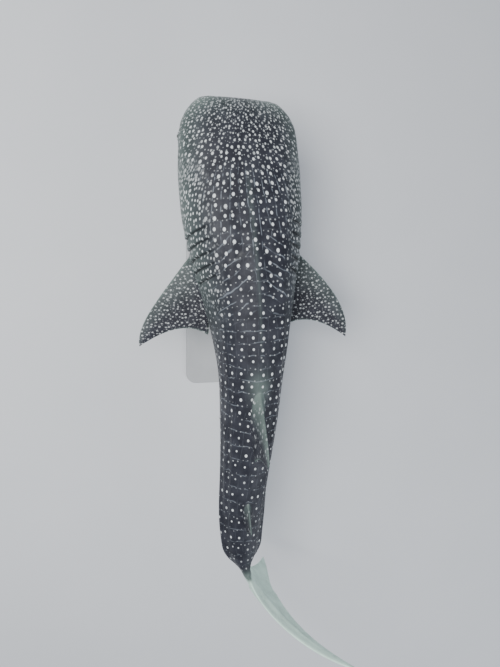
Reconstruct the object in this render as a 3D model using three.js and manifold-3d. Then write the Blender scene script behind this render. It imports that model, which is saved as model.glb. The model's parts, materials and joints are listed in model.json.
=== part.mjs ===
// Life-size whale shark on a display stand, swimming, with its tail swept to its right.
// Millimetres. +X is forward, +Y is the animal's left, +Z is up.
// The origin is the middle of the stand's underside, on the floor.

import * as THREE from 'three';
import { mergeVertices } from 'three/addons/utils/BufferGeometryUtils.js';
import { RoundedBoxGeometry } from 'three/addons/geometries/RoundedBoxGeometry.js';
import Module from 'manifold-3d';

const wasm = await Module();
wasm.setup();

// Driving dimensions.
// The animal is laid out in hundredths of its total length, as fish are measured.
const TOTAL_LENGTH = 6000;
const PCT = TOTAL_LENGTH / 100;
const AXIS_HEIGHT = 1250;
const BALANCE_STATION = 31.5;
const JOINT_GAP = 0.3;

// Stations along the body, from the snout.
const SNOUT_STATION = 0.7;
const HEAD_END = 16.8;
const GILL_END = 28;
const TRUNK_END = 56;
const PEDUNCLE_END = 79.5;

// Bend of the body seen from above: curvature in degrees per hundredth, at stations.
const SNOUT_HEADING = -1.4;
const CURVATURE = [
  [0, 0.68], [20, 0.03], [40, -0.46], [55, -0.07], [68, 0.42], [72, 0.75],
  [76, 1.0], [79, 4.8], [82, 5.8], [87, 3.0], [93, 2.8], [100, 1.4],
];
const SPINE_END = 100;
const SPINE_STEP = 0.25;

// Body sections: station, half width, height above the axis, depth below it, squareness.
const SECTIONS = [
  [0.7, 4.7, 0.8, 1.5, 2.4],
  [0.85, 5.6, 1.2, 2.1, 2.4],
  [1.2, 6.3, 1.65, 2.75, 2.45],
  [1.9, 7.1, 2.3, 3.55, 2.5],
  [3.0, 7.95, 2.95, 4.25, 2.5],
  [5.0, 8.8, 3.65, 4.95, 2.5],
  [8.0, 9.15, 4.5, 5.65, 2.5],
  [12.0, 9.4, 5.4, 6.3, 2.45],
  [16.0, 9.4, 6.2, 6.85, 2.4],
  [20.0, 9.1, 6.9, 7.1, 2.35],
  [24.0, 8.55, 7.4, 7.4, 2.3],
  [28.0, 7.7, 7.7, 7.55, 2.25],
  [32.0, 6.95, 7.8, 7.5, 2.2],
  [36.0, 6.2, 7.7, 7.25, 2.15],
  [44.0, 5.0, 7.15, 6.4, 2.1],
  [52.0, 4.5, 6.3, 5.4, 2.1],
  [60.0, 3.95, 5.15, 4.35, 2.1],
  [68.0, 3.4, 3.95, 3.35, 2.1],
  [72.0, 3.05, 3.3, 2.9, 2.1],
  [74.5, 2.8, 2.95, 2.65, 2.1],
  [76.5, 2.2, 2.6, 2.4, 2.1],
  [78.0, 1.4, 2.4, 2.3, 2.1],
  [79.5, 0.85, 2.32, 2.22, 2.1],
  [80.0, 0.8, 2.3, 2.2, 2.1],
];

// Ridges along the body. Each slides down the flank from one angle to the next between two
// stations, and grows and fades over others. The last is the keel of the tail.
const RIDGES = [
  { angles: [90, 90], slide: [0, 1], width: 6, height: 0.22, from: 10, full: 20, fade: 42, to: 46 },
  { angles: [72, 44], slide: [20, 46], width: 6, height: 0.22, from: 12, full: 22, fade: 60, to: 72 },
  { angles: [46, 24], slide: [26, 52], width: 7, height: 0.24, from: 22, full: 32, fade: 62, to: 74 },
  { angles: [22, 4], slide: [34, 60], width: 8, height: 0.26, from: 30, full: 44, fade: 74, to: 80 },
  { angles: [4, 4], slide: [0, 1], width: 12, height: 0.5, from: 58, full: 71, fade: 75, to: 80 },
];

// Angles of the section's points on one side, from belly to back, closest at the ridges.
const SIDE_ANGLES = [
  -76, -62, -49, -37, -26, -15, -5, 4, 13, 22, 28, 34, 40, 47, 54, 60, 66, 74, 83,
];

// Mouth and eyes.
const MOUTH = { corner: 4.7, lipFront: -0.35, lipCorner: -1.05, jawBack: 8.6 };
const EYE = { station: 5.9, angle: -8, radius: 27, inset: 10 };

// Gill slits: five on each side, slanting back as they run down, the last two above the fin.
const GILL = {
  first: 18.4, spacing: 1.8, top: 50, bottom: -32, shorten: 2.1, rake: 2.3, slant: 57,
  width: 14, depth: 24,
};

// Pectoral fins: plan outline by curves in (distance from the midline, station), and their tilt.
const PECTORAL = {
  leadingLeft: [[7.2, 21.8], [12.0, 27.8], [18.1, 33.3], [17.6, 38.3]],
  leadingRight: [[7.2, 21.6], [12.6, 27.2], [18.7, 33.2], [17.6, 38.3]],
  inner: [[6.4, 32.0], [6.1, 34.0], [5.9, 35.4], [6.3, 36.9]],
  trailing: [[6.3, 36.9], [9.2, 34.5], [12.9, 35.0], [17.6, 38.3]],
  rootHeight: -3.4,
  thickness: 1.15,
};
const PECTORAL_TILT = { left: -4, right: 11 };

// Unpaired fins: outlines in (station, height above the axis).
const FIRST_DORSAL = {
  leading: [[42.6, 6.0], [46.6, 9.2], [50.4, 13.6], [53.0, 14.3]],
  inner: [[52.9, 4.6], [53.6, 5.8], [54.4, 6.6], [56.0, 6.8]],
  trailing: [[56.0, 6.8], [54.3, 8.2], [53.5, 11.0], [54.0, 13.8]],
  thickness: 0.95,
};
const SECOND_DORSAL = {
  leading: [[63.3, 3.6], [65.4, 5.4], [66.9, 7.0], [68.2, 7.4]],
  inner: [[68.1, 2.8], [68.5, 3.8], [68.9, 4.3], [70.0, 4.5]],
  trailing: [[70.0, 4.5], [69.1, 5.1], [68.7, 6.2], [68.8, 7.2]],
  thickness: 0.62,
};
const ANAL = {
  leading: [[65.8, -2.6], [67.7, -4.6], [69.0, -6.3], [70.2, -6.8]],
  inner: [[70.0, -2.2], [70.3, -3.2], [70.7, -3.6], [71.7, -3.9]],
  trailing: [[71.7, -3.9], [70.9, -4.5], [70.5, -5.5], [70.8, -6.6]],
  thickness: 0.58,
};

// Pelvic fins: outline in (distance out along the fin, station), tilted down from the belly.
const PELVIC = {
  leading: [[-1.2, 48.4], [1.7, 49.7], [3.8, 52.0], [4.2, 54.0]],
  inner: [[-1.0, 52.8], [0.2, 53.3], [1.2, 53.8], [1.6, 55.6]],
  trailing: [[1.6, 55.6], [2.2, 54.0], [3.2, 53.8], [4.2, 54.0]],
  side: 1.0,
  rootHeight: -4.2,
  tilt: -60,
  thickness: 0.7,
};

// Tail fin: outline in (station, height), parted along its middle.
const CAUDAL = {
  split: -1.1,
  root: 79.5,
  upperLeading: [[79.5, 2.32], [84.6, 6.1], [91.8, 11.6], [98.7, 15.5]],
  upperTrailing: [[98.9, 14.9], [95.5, 11.2], [90.7, 6.5], [89.7, -1.1]],
  lowerLeading: [[79.5, -2.22], [83.4, -4.2], [87.2, -8.0], [90.2, -13.0]],
  lowerTrailing: [[90.4, -12.7], [90.3, -7.3], [88.3, -3.5], [89.7, -1.1]],
  thickness: 0.5,
  coreRadius: 2.45,
  coreEnd: [97.3, 14.2],
};

// Display stand.
const BASE = { length: 2300, width: 900, height: 50, corner: 20 };
const ROD = { radius: 32, stations: [22.5, 43.5], sides: 20 };

const MATERIALS = {
  back: { color: 0x3d4149, roughness: 0.5, metalness: 0 },
  fin: { color: 0x4a4f57, roughness: 0.5, metalness: 0 },
  tailFin: { color: 0x9fb3a8, roughness: 0.5, metalness: 0 },
  eye: { color: 0x14120f, roughness: 0.1, metalness: 0 },
  base: { color: 0x8d8f90, roughness: 0.6, metalness: 0.1 },
  rod: { color: 0xb5b7b9, roughness: 0.3, metalness: 1 },
};

const shark = new THREE.Group();
const radians = THREE.MathUtils.degToRad;

function addMesh(name, geometry, look) {
  const mesh = new THREE.Mesh(geometry, new THREE.MeshStandardMaterial(MATERIALS[look]));
  mesh.name = name;
  shark.add(mesh);
}

// A smooth curve through table rows, without overshoot between them.
function tableCurve(rows, column) {
  const xs = rows.map((row) => row[0]);
  const ys = rows.map((row) => row[column]);
  const slopes = xs.slice(1).map((x, i) => (ys[i + 1] - ys[i]) / (x - xs[i]));
  const tangents = xs.map((_, i) => {
    const before = slopes[Math.max(i - 1, 0)];
    const after = slopes[Math.min(i, slopes.length - 1)];
    return before * after <= 0 ? 0 : (2 * before * after) / (before + after);
  });
  return (x) => {
    const at = THREE.MathUtils.clamp(x, xs[0], xs[xs.length - 1]);
    let i = 0;
    while (i < xs.length - 2 && at > xs[i + 1]) i += 1;
    const h = xs[i + 1] - xs[i];
    const t = (at - xs[i]) / h;
    return (
      (2 * t ** 3 - 3 * t ** 2 + 1) * ys[i] + (t ** 3 - 2 * t ** 2 + t) * h * tangents[i] +
      (3 * t ** 2 - 2 * t ** 3) * ys[i + 1] + (t ** 3 - t ** 2) * h * tangents[i + 1]
    );
  };
}

function bezier(points, t) {
  const u = 1 - t;
  const weights = [u ** 3, 3 * u ** 2 * t, 3 * u * t ** 2, t ** 3];
  return [0, 1].map((axis) => points.reduce((sum, p, i) => sum + weights[i] * p[axis], 0));
}

// The spine: walking tailward, the heading turns by the curvature.
const spine = [];
{
  const curvature = (s) => {
    let i = 0;
    while (i < CURVATURE.length - 2 && s > CURVATURE[i + 1][0]) i += 1;
    const [s0, k0] = CURVATURE[i];
    const [s1, k1] = CURVATURE[i + 1];
    return k0 + ((k1 - k0) * (s - s0)) / (s1 - s0);
  };
  let x = 0;
  let y = 0;
  let heading = SNOUT_HEADING;
  for (let s = 0; s <= SPINE_END; s += SPINE_STEP) {
    spine.push({ x, y, heading });
    const middle = radians(heading + (curvature(s) * SPINE_STEP) / 2);
    x -= Math.cos(middle) * SPINE_STEP;
    y -= Math.sin(middle) * SPINE_STEP;
    heading += curvature(s + SPINE_STEP / 2) * SPINE_STEP;
  }
}

function spineAt(station) {
  const at = THREE.MathUtils.clamp(station / SPINE_STEP, 0, spine.length - 1.001);
  const i = Math.floor(at);
  const t = at - i;
  const mix = (key) => spine[i][key] + (spine[i + 1][key] - spine[i][key]) * t;
  return { x: mix('x'), y: mix('y'), heading: radians(mix('heading')) };
}

// A point beside the spine: station, distance to the left and height, all in hundredths.
const balance = spineAt(BALANCE_STATION);
function place(station, left, height) {
  const { x, y, heading } = spineAt(station);
  return new THREE.Vector3(
    (x - balance.x - left * Math.sin(heading)) * PCT,
    (y - balance.y + left * Math.cos(heading)) * PCT,
    AXIS_HEIGHT + height * PCT,
  );
}

const halfWidth = tableCurve(SECTIONS, 1);
const topHeight = tableCurve(SECTIONS, 2);
const bottomDepth = tableCurve(SECTIONS, 3);
const squareness = tableCurve(SECTIONS, 4);

function ridgeHeight(station, angle) {
  let sum = 0;
  for (const ridge of RIDGES) {
    const grow = THREE.MathUtils.smoothstep(station, ridge.from, ridge.full);
    const fall = 1 - THREE.MathUtils.smoothstep(station, ridge.fade, ridge.to);
    const slid = THREE.MathUtils.clamp(
      (station - ridge.slide[0]) / (ridge.slide[1] - ridge.slide[0]), 0, 1);
    const centre = ridge.angles[0] + (ridge.angles[1] - ridge.angles[0]) * slid;
    sum += ridge.height * grow * fall * Math.exp(-(((angle - centre) / ridge.width) ** 2));
  }
  return sum;
}

// The skin's place in a section, by its angle: 0 is the left flank, 90 the back.
function bodyPoint(station, angle, outward = 0) {
  const power = 2 / squareness(station);
  const c = Math.cos(radians(angle));
  const s = Math.sin(radians(angle));
  const side = angle > 90 ? 180 - angle : angle;
  const reach = ridgeHeight(station, side) + outward;
  const vertical = s >= 0 ? topHeight(station) : bottomDepth(station);
  const left = Math.sign(c) * (Math.abs(c) ** power * halfWidth(station) + Math.abs(c) * reach);
  const height = Math.sign(s) * (Math.abs(s) ** power * vertical + Math.abs(s) * reach);
  return place(station, left, height);
}

const SECTION_ANGLES = [
  -90, ...SIDE_ANGLES, 90, ...SIDE_ANGLES.map((angle) => 180 - angle).reverse(),
];
const bodyRing = (station, outward = 0) =>
  SECTION_ANGLES.map((angle) => bodyPoint(station, angle, outward));

// Closes a row of rings into one solid: walls between rings, and a fan over each end.
function loft(rings) {
  const size = rings[0].length;
  const positions = rings.flat().flatMap((p) => p.toArray());
  const centres = [rings[0], rings[rings.length - 1]].map((ring) =>
    ring.reduce((sum, p) => sum.add(p), new THREE.Vector3()).divideScalar(size));
  centres.forEach((p) => positions.push(...p.toArray()));
  const first = rings.length * size;
  const last = first + 1;
  let triangles = [];
  for (let i = 0; i < size; i += 1) {
    const j = (i + 1) % size;
    for (let r = 0; r < rings.length - 1; r += 1) {
      const a = r * size;
      const b = a + size;
      triangles.push([a + i, b + i, b + j], [a + i, b + j, a + j]);
    }
    const end = (rings.length - 1) * size;
    triangles.push([first, i, j], [last, end + j, end + i]);
  }
  const point = (i) => new THREE.Vector3().fromArray(positions, 3 * i);
  const volume = triangles.reduce(
    (sum, [a, b, c]) => sum + point(a).dot(point(b).cross(point(c))), 0);
  if (volume < 0) triangles = triangles.map(([a, b, c]) => [a, c, b]);
  const geometry = new THREE.BufferGeometry();
  geometry.setAttribute('position', new THREE.Float32BufferAttribute(positions, 3));
  geometry.setIndex(triangles.flat());
  return geometry;
}

function solidOf(geometry) {
  const bare = geometry.clone();
  bare.deleteAttribute('normal');
  bare.deleteAttribute('uv');
  const merged = mergeVertices(bare, 1e-3);
  return new wasm.Manifold(new wasm.Mesh({
    numProp: 3,
    vertProperties: new Float32Array(merged.getAttribute('position').array),
    triVerts: new Uint32Array(merged.getIndex().array),
  }));
}

function geometryOf(solid) {
  const { vertProperties, triVerts } = solid.getMesh();
  const geometry = new THREE.BufferGeometry();
  geometry.setAttribute('position', new THREE.Float32BufferAttribute(vertProperties, 3));
  geometry.setIndex([...triVerts]);
  return geometry;
}

function stationsBetween(from, to, step) {
  const count = Math.max(2, Math.round((to - from) / step));
  return Array.from({ length: count + 1 }, (_, i) => from + ((to - from) * i) / count);
}

const gap = JOINT_GAP / PCT;
const bodyLoft = (stations, outward = 0) => loft(stations.map((s) => bodyRing(s, outward)));

const HEAD_STATIONS = [SNOUT_STATION, 0.85, 1.2, 1.8, 2.5, 3.2, 4.1, ...stationsBetween(5, HEAD_END, 1.5)];
const GILL_STATIONS = stationsBetween(HEAD_END + gap, GILL_END, 1.7);
const TRUNK_STATIONS = stationsBetween(GILL_END + gap, TRUNK_END, 2.0);
const TAIL_STATIONS = stationsBetween(TRUNK_END + gap, PEDUNCLE_END, 1.95);

// The whole body, a gap larger all round: what the fins and rods are cut by.
const bodyEnvelope = solidOf(bodyLoft(
  [...HEAD_STATIONS, ...GILL_STATIONS, ...TRUNK_STATIONS, ...TAIL_STATIONS], 2 * gap));

// Head: upper head, lower jaw and eyes.
const headSolid = solidOf(bodyLoft(HEAD_STATIONS));

// The jaw's side outline, drawn in (station, height) and carried across the head.
function jawTool(outward) {
  const snout = spineAt(MOUTH.corner);
  const outline = [
    [-4, MOUTH.lipFront + outward],
    [1, MOUTH.lipFront + outward],
    [MOUTH.corner + outward, MOUTH.lipCorner + outward],
    [MOUTH.jawBack + outward, -9],
    [-4, -9],
  ];
  const shape = new THREE.Shape(outline.map(([s, z]) => new THREE.Vector2(-s * PCT, z * PCT)));
  const width = 26 * PCT;
  const geometry = new THREE.ExtrudeGeometry(shape, { depth: width, bevelEnabled: false });
  geometry.translate(0, 0, -width / 2);
  geometry.rotateX(Math.PI / 2);
  geometry.rotateZ(snout.heading);
  geometry.translate(-balance.x * PCT, -balance.y * PCT, AXIS_HEIGHT);
  return solidOf(geometry);
}

function eyeGeometry(side, radius) {
  const geometry = new THREE.SphereGeometry(radius, 14, 9);
  const angle = side > 0 ? EYE.angle : 180 - EYE.angle;
  const surface = bodyPoint(EYE.station, angle, -EYE.inset / PCT);
  geometry.translate(surface.x, surface.y, surface.z);
  return geometry;
}

{
  const lowerJaw = headSolid.intersect(jawTool(0));
  let upperHead = headSolid.subtract(jawTool(gap));
  for (const side of [1, -1]) {
    upperHead = upperHead.subtract(solidOf(eyeGeometry(side, EYE.radius + JOINT_GAP)));
  }
  addMesh('head', geometryOf(upperHead), 'back');
  addMesh('lower_jaw', geometryOf(lowerJaw), 'back');
  addMesh('eye_left', eyeGeometry(1, EYE.radius), 'eye');
  addMesh('eye_right', eyeGeometry(-1, EYE.radius), 'eye');
}

// Gill region with five slits cut on each side.
function gillSlit(index, side) {
  const bottom = GILL.bottom + GILL.shorten * index ** 2;
  const steps = 5;
  const rings = [];
  for (let i = 0; i <= steps; i += 1) {
    const t = i / steps;
    const angle = bottom + (GILL.top - bottom) * t;
    const slant = Math.min((GILL.top - angle) / GILL.slant, 1);
    const station = GILL.first + GILL.spacing * index + GILL.rake * slant;
    const skinAngle = side > 0 ? angle : 180 - angle;
    const taper = Math.sqrt(Math.sin(Math.PI * (0.08 + 0.84 * t)));
    const reach = (GILL.depth / PCT) * taper;
    const half = ((GILL.width / 2) * taper) / PCT;
    rings.push([
      bodyPoint(station - half, skinAngle, -reach),
      bodyPoint(station + half, skinAngle, -reach),
      bodyPoint(station + half, skinAngle, 1),
      bodyPoint(station - half, skinAngle, 1),
    ]);
  }
  return solidOf(loft(rings));
}

{
  let region = solidOf(bodyLoft(GILL_STATIONS));
  for (const side of [1, -1]) {
    for (let index = 0; index < 5; index += 1) region = region.subtract(gillSlit(index, side));
  }
  addMesh('gill_region', geometryOf(region), 'back');
}

addMesh('trunk', bodyLoft(TRUNK_STATIONS), 'back');
addMesh('tail', bodyLoft(TAIL_STATIONS), 'back');

// Fins are rows of thin sections from the root to the tip.
const ROWS = [0, 0.1, 0.2, 0.32, 0.46, 0.6, 0.74, 0.86, 0.95, 1];
const CHORD = [0, 0.06, 0.2, 0.42, 0.68, 1];
const INNER_SHARE = 0.2;
const EDGE = 0.06;

// Half thickness over the chord: full near the front third, thin at both edges.
function foil(chord, thickness) {
  const body = 2.6 * Math.sqrt(chord) * (1 - chord) * (1 - 0.25 * chord);
  return Math.max((thickness / 2) * body, EDGE);
}

// The hind outline runs along the free inner margin first, then up the trailing edge.
function hindEdge(fin, t) {
  if (t < INNER_SHARE) return bezier(fin.inner, t / INNER_SHARE);
  return bezier(fin.trailing, (t - INNER_SHARE) / (1 - INNER_SHARE));
}

function finGeometry(fin, map) {
  const rings = ROWS.map((t) => {
    const front = bezier(fin.leading, t);
    const back = hindEdge(fin, t);
    const thickness = fin.thickness * (1 - 0.82 * t ** 0.8);
    const side = (sign) => CHORD.map((c) => {
      const p = [0, 1].map((axis) => front[axis] + (back[axis] - front[axis]) * c);
      return map(p, sign * foil(c, thickness));
    });
    return [...side(1), ...side(-1).reverse()];
  });
  return loft(rings);
}

function addFin(name, geometry, look) {
  addMesh(name, geometryOf(solidOf(geometry).subtract(bodyEnvelope)), look);
}

function pectoralMap(side, tilt) {
  const slope = Math.tan(radians(tilt));
  return ([out, station], thickness) =>
    place(station, side * out, PECTORAL.rootHeight + slope * (out - halfWidth(24)) + thickness);
}
addFin('pectoral_fin_left', finGeometry(
  { ...PECTORAL, leading: PECTORAL.leadingLeft }, pectoralMap(1, PECTORAL_TILT.left)), 'fin');
addFin('pectoral_fin_right', finGeometry(
  { ...PECTORAL, leading: PECTORAL.leadingRight }, pectoralMap(-1, PECTORAL_TILT.right)), 'fin');

function pelvicMap(side) {
  const tilt = radians(PELVIC.tilt);
  return ([out, station], thickness) => place(
    station,
    side * (PELVIC.side + out * Math.cos(tilt) - thickness * Math.sin(tilt)),
    PELVIC.rootHeight + out * Math.sin(tilt) + thickness * Math.cos(tilt),
  );
}
addFin('pelvic_fin_left', finGeometry(PELVIC, pelvicMap(1)), 'fin');
addFin('pelvic_fin_right', finGeometry(PELVIC, pelvicMap(-1)), 'fin');

const uprightMap = ([station, height], thickness) => place(station, thickness, height);
addFin('first_dorsal_fin', finGeometry(FIRST_DORSAL, uprightMap), 'fin');
addFin('second_dorsal_fin', finGeometry(SECOND_DORSAL, uprightMap), 'fin');
addFin('anal_fin', finGeometry(ANAL, uprightMap), 'fin');

// Tail fin: a thin blade thickened by the end of the body, which runs up the upper lobe.
function caudalHalfThickness(station, height, blade) {
  const [endStation, endHeight] = CAUDAL.coreEnd;
  const run = THREE.MathUtils.clamp((station - CAUDAL.root) / (endStation - CAUDAL.root), 0, 1);
  const radius = CAUDAL.coreRadius * (1 - run) ** 1.4 + 0.1;
  const reach = (height - endHeight * run ** 1.25) / (radius * 1.05);
  const core = halfWidth(CAUDAL.root) * (1 - run) ** 1.9 * Math.sqrt(Math.max(1 - reach ** 2, 0));
  return Math.max(blade, core);
}

function caudalLobe(leading, trailing, flip) {
  const chord = [0, 0.05, 0.12, 0.22, 0.36, 0.52, 0.7, 0.86, 1];
  const rise = [0, 0.07, 0.13];
  const along = [0.05, 0.14, 0.26, 0.4, 0.56, 0.72, 0.86, 1];
  const start = [CAUDAL.root + gap, CAUDAL.split + flip * gap];
  const rows = [
    ...rise.map((r) => {
      const front = [start[0], start[1] + (leading[0][1] - start[1]) * (r / 0.13)];
      return { front, back: bezier(trailing, 1 - r * 0.6) };
    }),
    ...along.map((t) => ({
      front: bezier(leading, t),
      back: bezier(trailing, (1 - t) * (1 - 0.13 * 0.6)),
    })),
  ];
  return rows.map(({ front, back }, index) => {
    const share = index / (rows.length - 1);
    const side = (sign) => chord.map((c) => {
      const station = Math.max(front[0] + (back[0] - front[0]) * c, start[0]);
      let height = front[1] + (back[1] - front[1]) * c;
      height = flip > 0 ? Math.max(height, start[1]) : Math.min(height, start[1]);
      const blade = foil(c, CAUDAL.thickness * (1 - 0.6 * share));
      return place(station, sign * caudalHalfThickness(station, height, blade), height);
    });
    return [...side(1), ...side(-1).reverse()];
  });
}
addMesh('caudal_fin_upper_lobe',
  loft(caudalLobe(CAUDAL.upperLeading, CAUDAL.upperTrailing, 1)), 'tailFin');
addMesh('caudal_fin_lower_lobe',
  loft(caudalLobe(CAUDAL.lowerLeading, CAUDAL.lowerTrailing, -1)), 'tailFin');

// Display stand: a flat base with softened edges, and two rods up to the belly.
{
  const base = new RoundedBoxGeometry(BASE.length, BASE.width, BASE.height, 2, BASE.corner);
  base.translate(0, 0, BASE.height / 2);
  addMesh('stand_base', geometryOf(solidOf(base)), 'base');
  const names = ['stand_rod_front', 'stand_rod_rear'];
  ROD.stations.forEach((station, i) => {
    const foot = place(station, 0, 0);
    const length = AXIS_HEIGHT - BASE.height - JOINT_GAP;
    const rod = new THREE.CylinderGeometry(ROD.radius, ROD.radius, length, ROD.sides);
    rod.rotateX(Math.PI / 2);
    rod.translate(foot.x, foot.y, BASE.height + JOINT_GAP + length / 2);
    addMesh(names[i], geometryOf(solidOf(rod).subtract(bodyEnvelope)), 'rod');
  });
}

export default shark;
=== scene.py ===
# %% [markdown]
# # A life-size whale shark on a display stand
#
# The model shows a whale shark seen from above as it swims, its tail swept to its right.
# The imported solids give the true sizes. This script covers them with one skin, sets eyes
# into it, finishes the stand, and lights it all softly over a pale floor.

import json
import math

import bpy
import numpy as np
from mathutils import Matrix, Vector

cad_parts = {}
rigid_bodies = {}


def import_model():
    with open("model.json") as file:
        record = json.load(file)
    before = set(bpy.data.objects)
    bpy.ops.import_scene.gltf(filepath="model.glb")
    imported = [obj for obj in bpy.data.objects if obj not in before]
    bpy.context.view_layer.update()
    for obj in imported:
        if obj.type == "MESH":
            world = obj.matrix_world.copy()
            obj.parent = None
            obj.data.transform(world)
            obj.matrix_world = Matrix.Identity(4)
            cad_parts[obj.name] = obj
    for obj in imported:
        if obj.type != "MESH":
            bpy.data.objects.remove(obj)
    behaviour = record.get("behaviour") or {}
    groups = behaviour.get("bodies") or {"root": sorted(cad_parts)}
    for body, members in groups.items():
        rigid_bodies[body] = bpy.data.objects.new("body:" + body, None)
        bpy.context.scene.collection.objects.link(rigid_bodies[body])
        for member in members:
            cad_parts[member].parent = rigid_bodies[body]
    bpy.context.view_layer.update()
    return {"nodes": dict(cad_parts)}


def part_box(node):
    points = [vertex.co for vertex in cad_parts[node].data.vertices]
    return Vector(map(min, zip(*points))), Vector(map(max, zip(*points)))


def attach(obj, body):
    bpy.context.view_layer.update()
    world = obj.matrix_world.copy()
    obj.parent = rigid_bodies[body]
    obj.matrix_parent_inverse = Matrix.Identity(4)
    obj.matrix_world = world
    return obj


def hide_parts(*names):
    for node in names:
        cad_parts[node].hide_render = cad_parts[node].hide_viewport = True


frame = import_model()
nodes = frame["nodes"]

# %% [markdown]
# ## The measuring system
#
# Fish are measured in hundredths of their total length, station by station from the snout.
# Everything on the animal is laid out that way here, so a size reads the same whether the
# shark is a young one or full grown. One length turns all of it into metres.

# %% Driving dimensions
TOTAL_LENGTH = 6.0
PCT = TOTAL_LENGTH / 100
AXIS_HEIGHT = 1.25
BALANCE_STATION = 31.5
SNOUT_STATION = 0.7
PEDUNCLE_END = 79.5

# Heading and bend are rounded results of a least-squares fit to the photo's outline, in
# degrees and degrees per hundredth, at stations.
SNOUT_HEADING = -1.4
CURVATURE = [
    [0, 0.68], [20, 0.03], [40, -0.46], [55, -0.07], [68, 0.42], [72, 0.75],
    [76, 1.0], [79, 4.8], [82, 5.8], [87, 3.0], [93, 2.8], [100, 1.4],
]
SPINE_STEP = 0.25

# station, half width, height above the axis, depth below it, squareness of the section.
# Many of the half widths started as results of that fit.
SECTIONS = [
    [0.7, 4.7, 0.8, 1.5, 2.4],
    [0.85, 5.6, 1.2, 2.1, 2.4],
    [1.2, 6.3, 1.65, 2.75, 2.45],
    [1.9, 7.1, 2.3, 3.55, 2.5],
    [3.0, 7.95, 2.95, 4.25, 2.5],
    [5.0, 8.8, 3.65, 4.95, 2.5],
    [8.0, 9.15, 4.5, 5.65, 2.5],
    [12.0, 9.4, 5.4, 6.3, 2.45],
    [16.0, 9.4, 6.2, 6.85, 2.4],
    [20.0, 9.1, 6.9, 7.1, 2.35],
    [24.0, 8.55, 7.4, 7.4, 2.3],
    [28.0, 7.7, 7.7, 7.55, 2.25],
    [32.0, 6.95, 7.8, 7.5, 2.2],
    [36.0, 6.2, 7.7, 7.25, 2.15],
    [44.0, 5.0, 7.15, 6.4, 2.1],
    [52.0, 4.5, 6.3, 5.4, 2.1],
    [60.0, 3.95, 5.15, 4.35, 2.1],
    [68.0, 3.4, 3.95, 3.35, 2.1],
    [72.0, 3.05, 3.3, 2.9, 2.1],
    [74.5, 2.8, 2.95, 2.65, 2.1],
    [76.5, 2.2, 2.6, 2.4, 2.1],
    [78.0, 1.4, 2.4, 2.3, 2.1],
    [79.5, 0.85, 2.32, 2.22, 2.1],
    [80.0, 0.8, 2.3, 2.2, 2.1],
]
print("total length", TOTAL_LENGTH, "m, one hundredth", PCT, "m")

# %% [markdown]
# ## The spine and the body's sections
#
# A fish bends along its backbone, so the body is a profile carried along a path. The path
# is found by walking tailward while the heading turns a little at every step. Each section
# is a rounded box, a superellipse, whose width, height and squareness come from one table.

# %% Smooth tables, the spine and the section
def smooth_step(x, low, high):
    """0 below low, 1 above high, and an S curve between them. It also runs backwards."""
    t = np.clip((x - low) / (high - low), 0, 1)
    return t * t * (3 - 2 * t)


def bump(x, centre, width):
    """A bell: 1 at the centre, falling to about a third one width away."""
    return np.exp(-(((x - centre) / width) ** 2))


def table_curve(rows, column=1):
    """A smooth curve through table rows: cubic pieces whose end slopes are the harmonic
    mean of the chords beside them, so the curve never overshoots its rows."""
    table = np.array(rows, float)
    xs = table[:, 0]
    ys = table[:, column]
    slopes = np.diff(ys) / np.diff(xs)
    before = np.concatenate([slopes[:1], slopes])
    after = np.concatenate([slopes, slopes[-1:]])
    same_way = before * after > 0
    total = np.where(same_way, before + after, 1)
    tangents = np.where(same_way, 2 * before * after / total, 0)

    def curve(x):
        """The table's value at x, held level beyond its first and last rows."""
        at = np.clip(x, xs[0], xs[-1])
        i = np.clip(np.searchsorted(xs, at, side="right") - 1, 0, len(xs) - 2)
        h = xs[i + 1] - xs[i]
        t = (at - xs[i]) / h
        return (
            (2 * t**3 - 3 * t**2 + 1) * ys[i] + (t**3 - 2 * t**2 + t) * h * tangents[i]
            + (3 * t**2 - 2 * t**3) * ys[i + 1] + (t**3 - t**2) * h * tangents[i + 1]
        )

    return curve


half_width = table_curve(SECTIONS, 1)
top_height = table_curve(SECTIONS, 2)
bottom_depth = table_curve(SECTIONS, 3)
squareness = table_curve(SECTIONS, 4)

spine_station = np.arange(0, 100 + SPINE_STEP, SPINE_STEP)
bend_rows = np.array(CURVATURE, float)
bend_here = np.interp(spine_station, bend_rows[:, 0], bend_rows[:, 1])
bend_next = np.interp(spine_station + SPINE_STEP / 2, bend_rows[:, 0], bend_rows[:, 1])
spine_heading = SNOUT_HEADING + np.concatenate([[0], np.cumsum(bend_next * SPINE_STEP)[:-1]])
walking = np.radians(spine_heading + bend_here * SPINE_STEP / 2)
spine_x = np.concatenate([[0], -np.cumsum(np.cos(walking) * SPINE_STEP)[:-1]])
spine_y = np.concatenate([[0], -np.cumsum(np.sin(walking) * SPINE_STEP)[:-1]])
balance_x = np.interp(BALANCE_STATION, spine_station, spine_x)
balance_y = np.interp(BALANCE_STATION, spine_station, spine_y)


def place(station, left, height):
    """Metres in the frame, from a station, a distance to the animal's left and a height:
    the spine's point there, moved sideways at right angles to the heading."""
    station = np.asarray(station, float)
    heading = np.radians(np.interp(station, spine_station, spine_heading))
    x = np.interp(station, spine_station, spine_x) - balance_x - left * np.sin(heading)
    y = np.interp(station, spine_station, spine_y) - balance_y + left * np.cos(heading)
    z = AXIS_HEIGHT + height * PCT + 0 * x
    return np.stack([x * PCT, y * PCT, z], -1)


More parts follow.
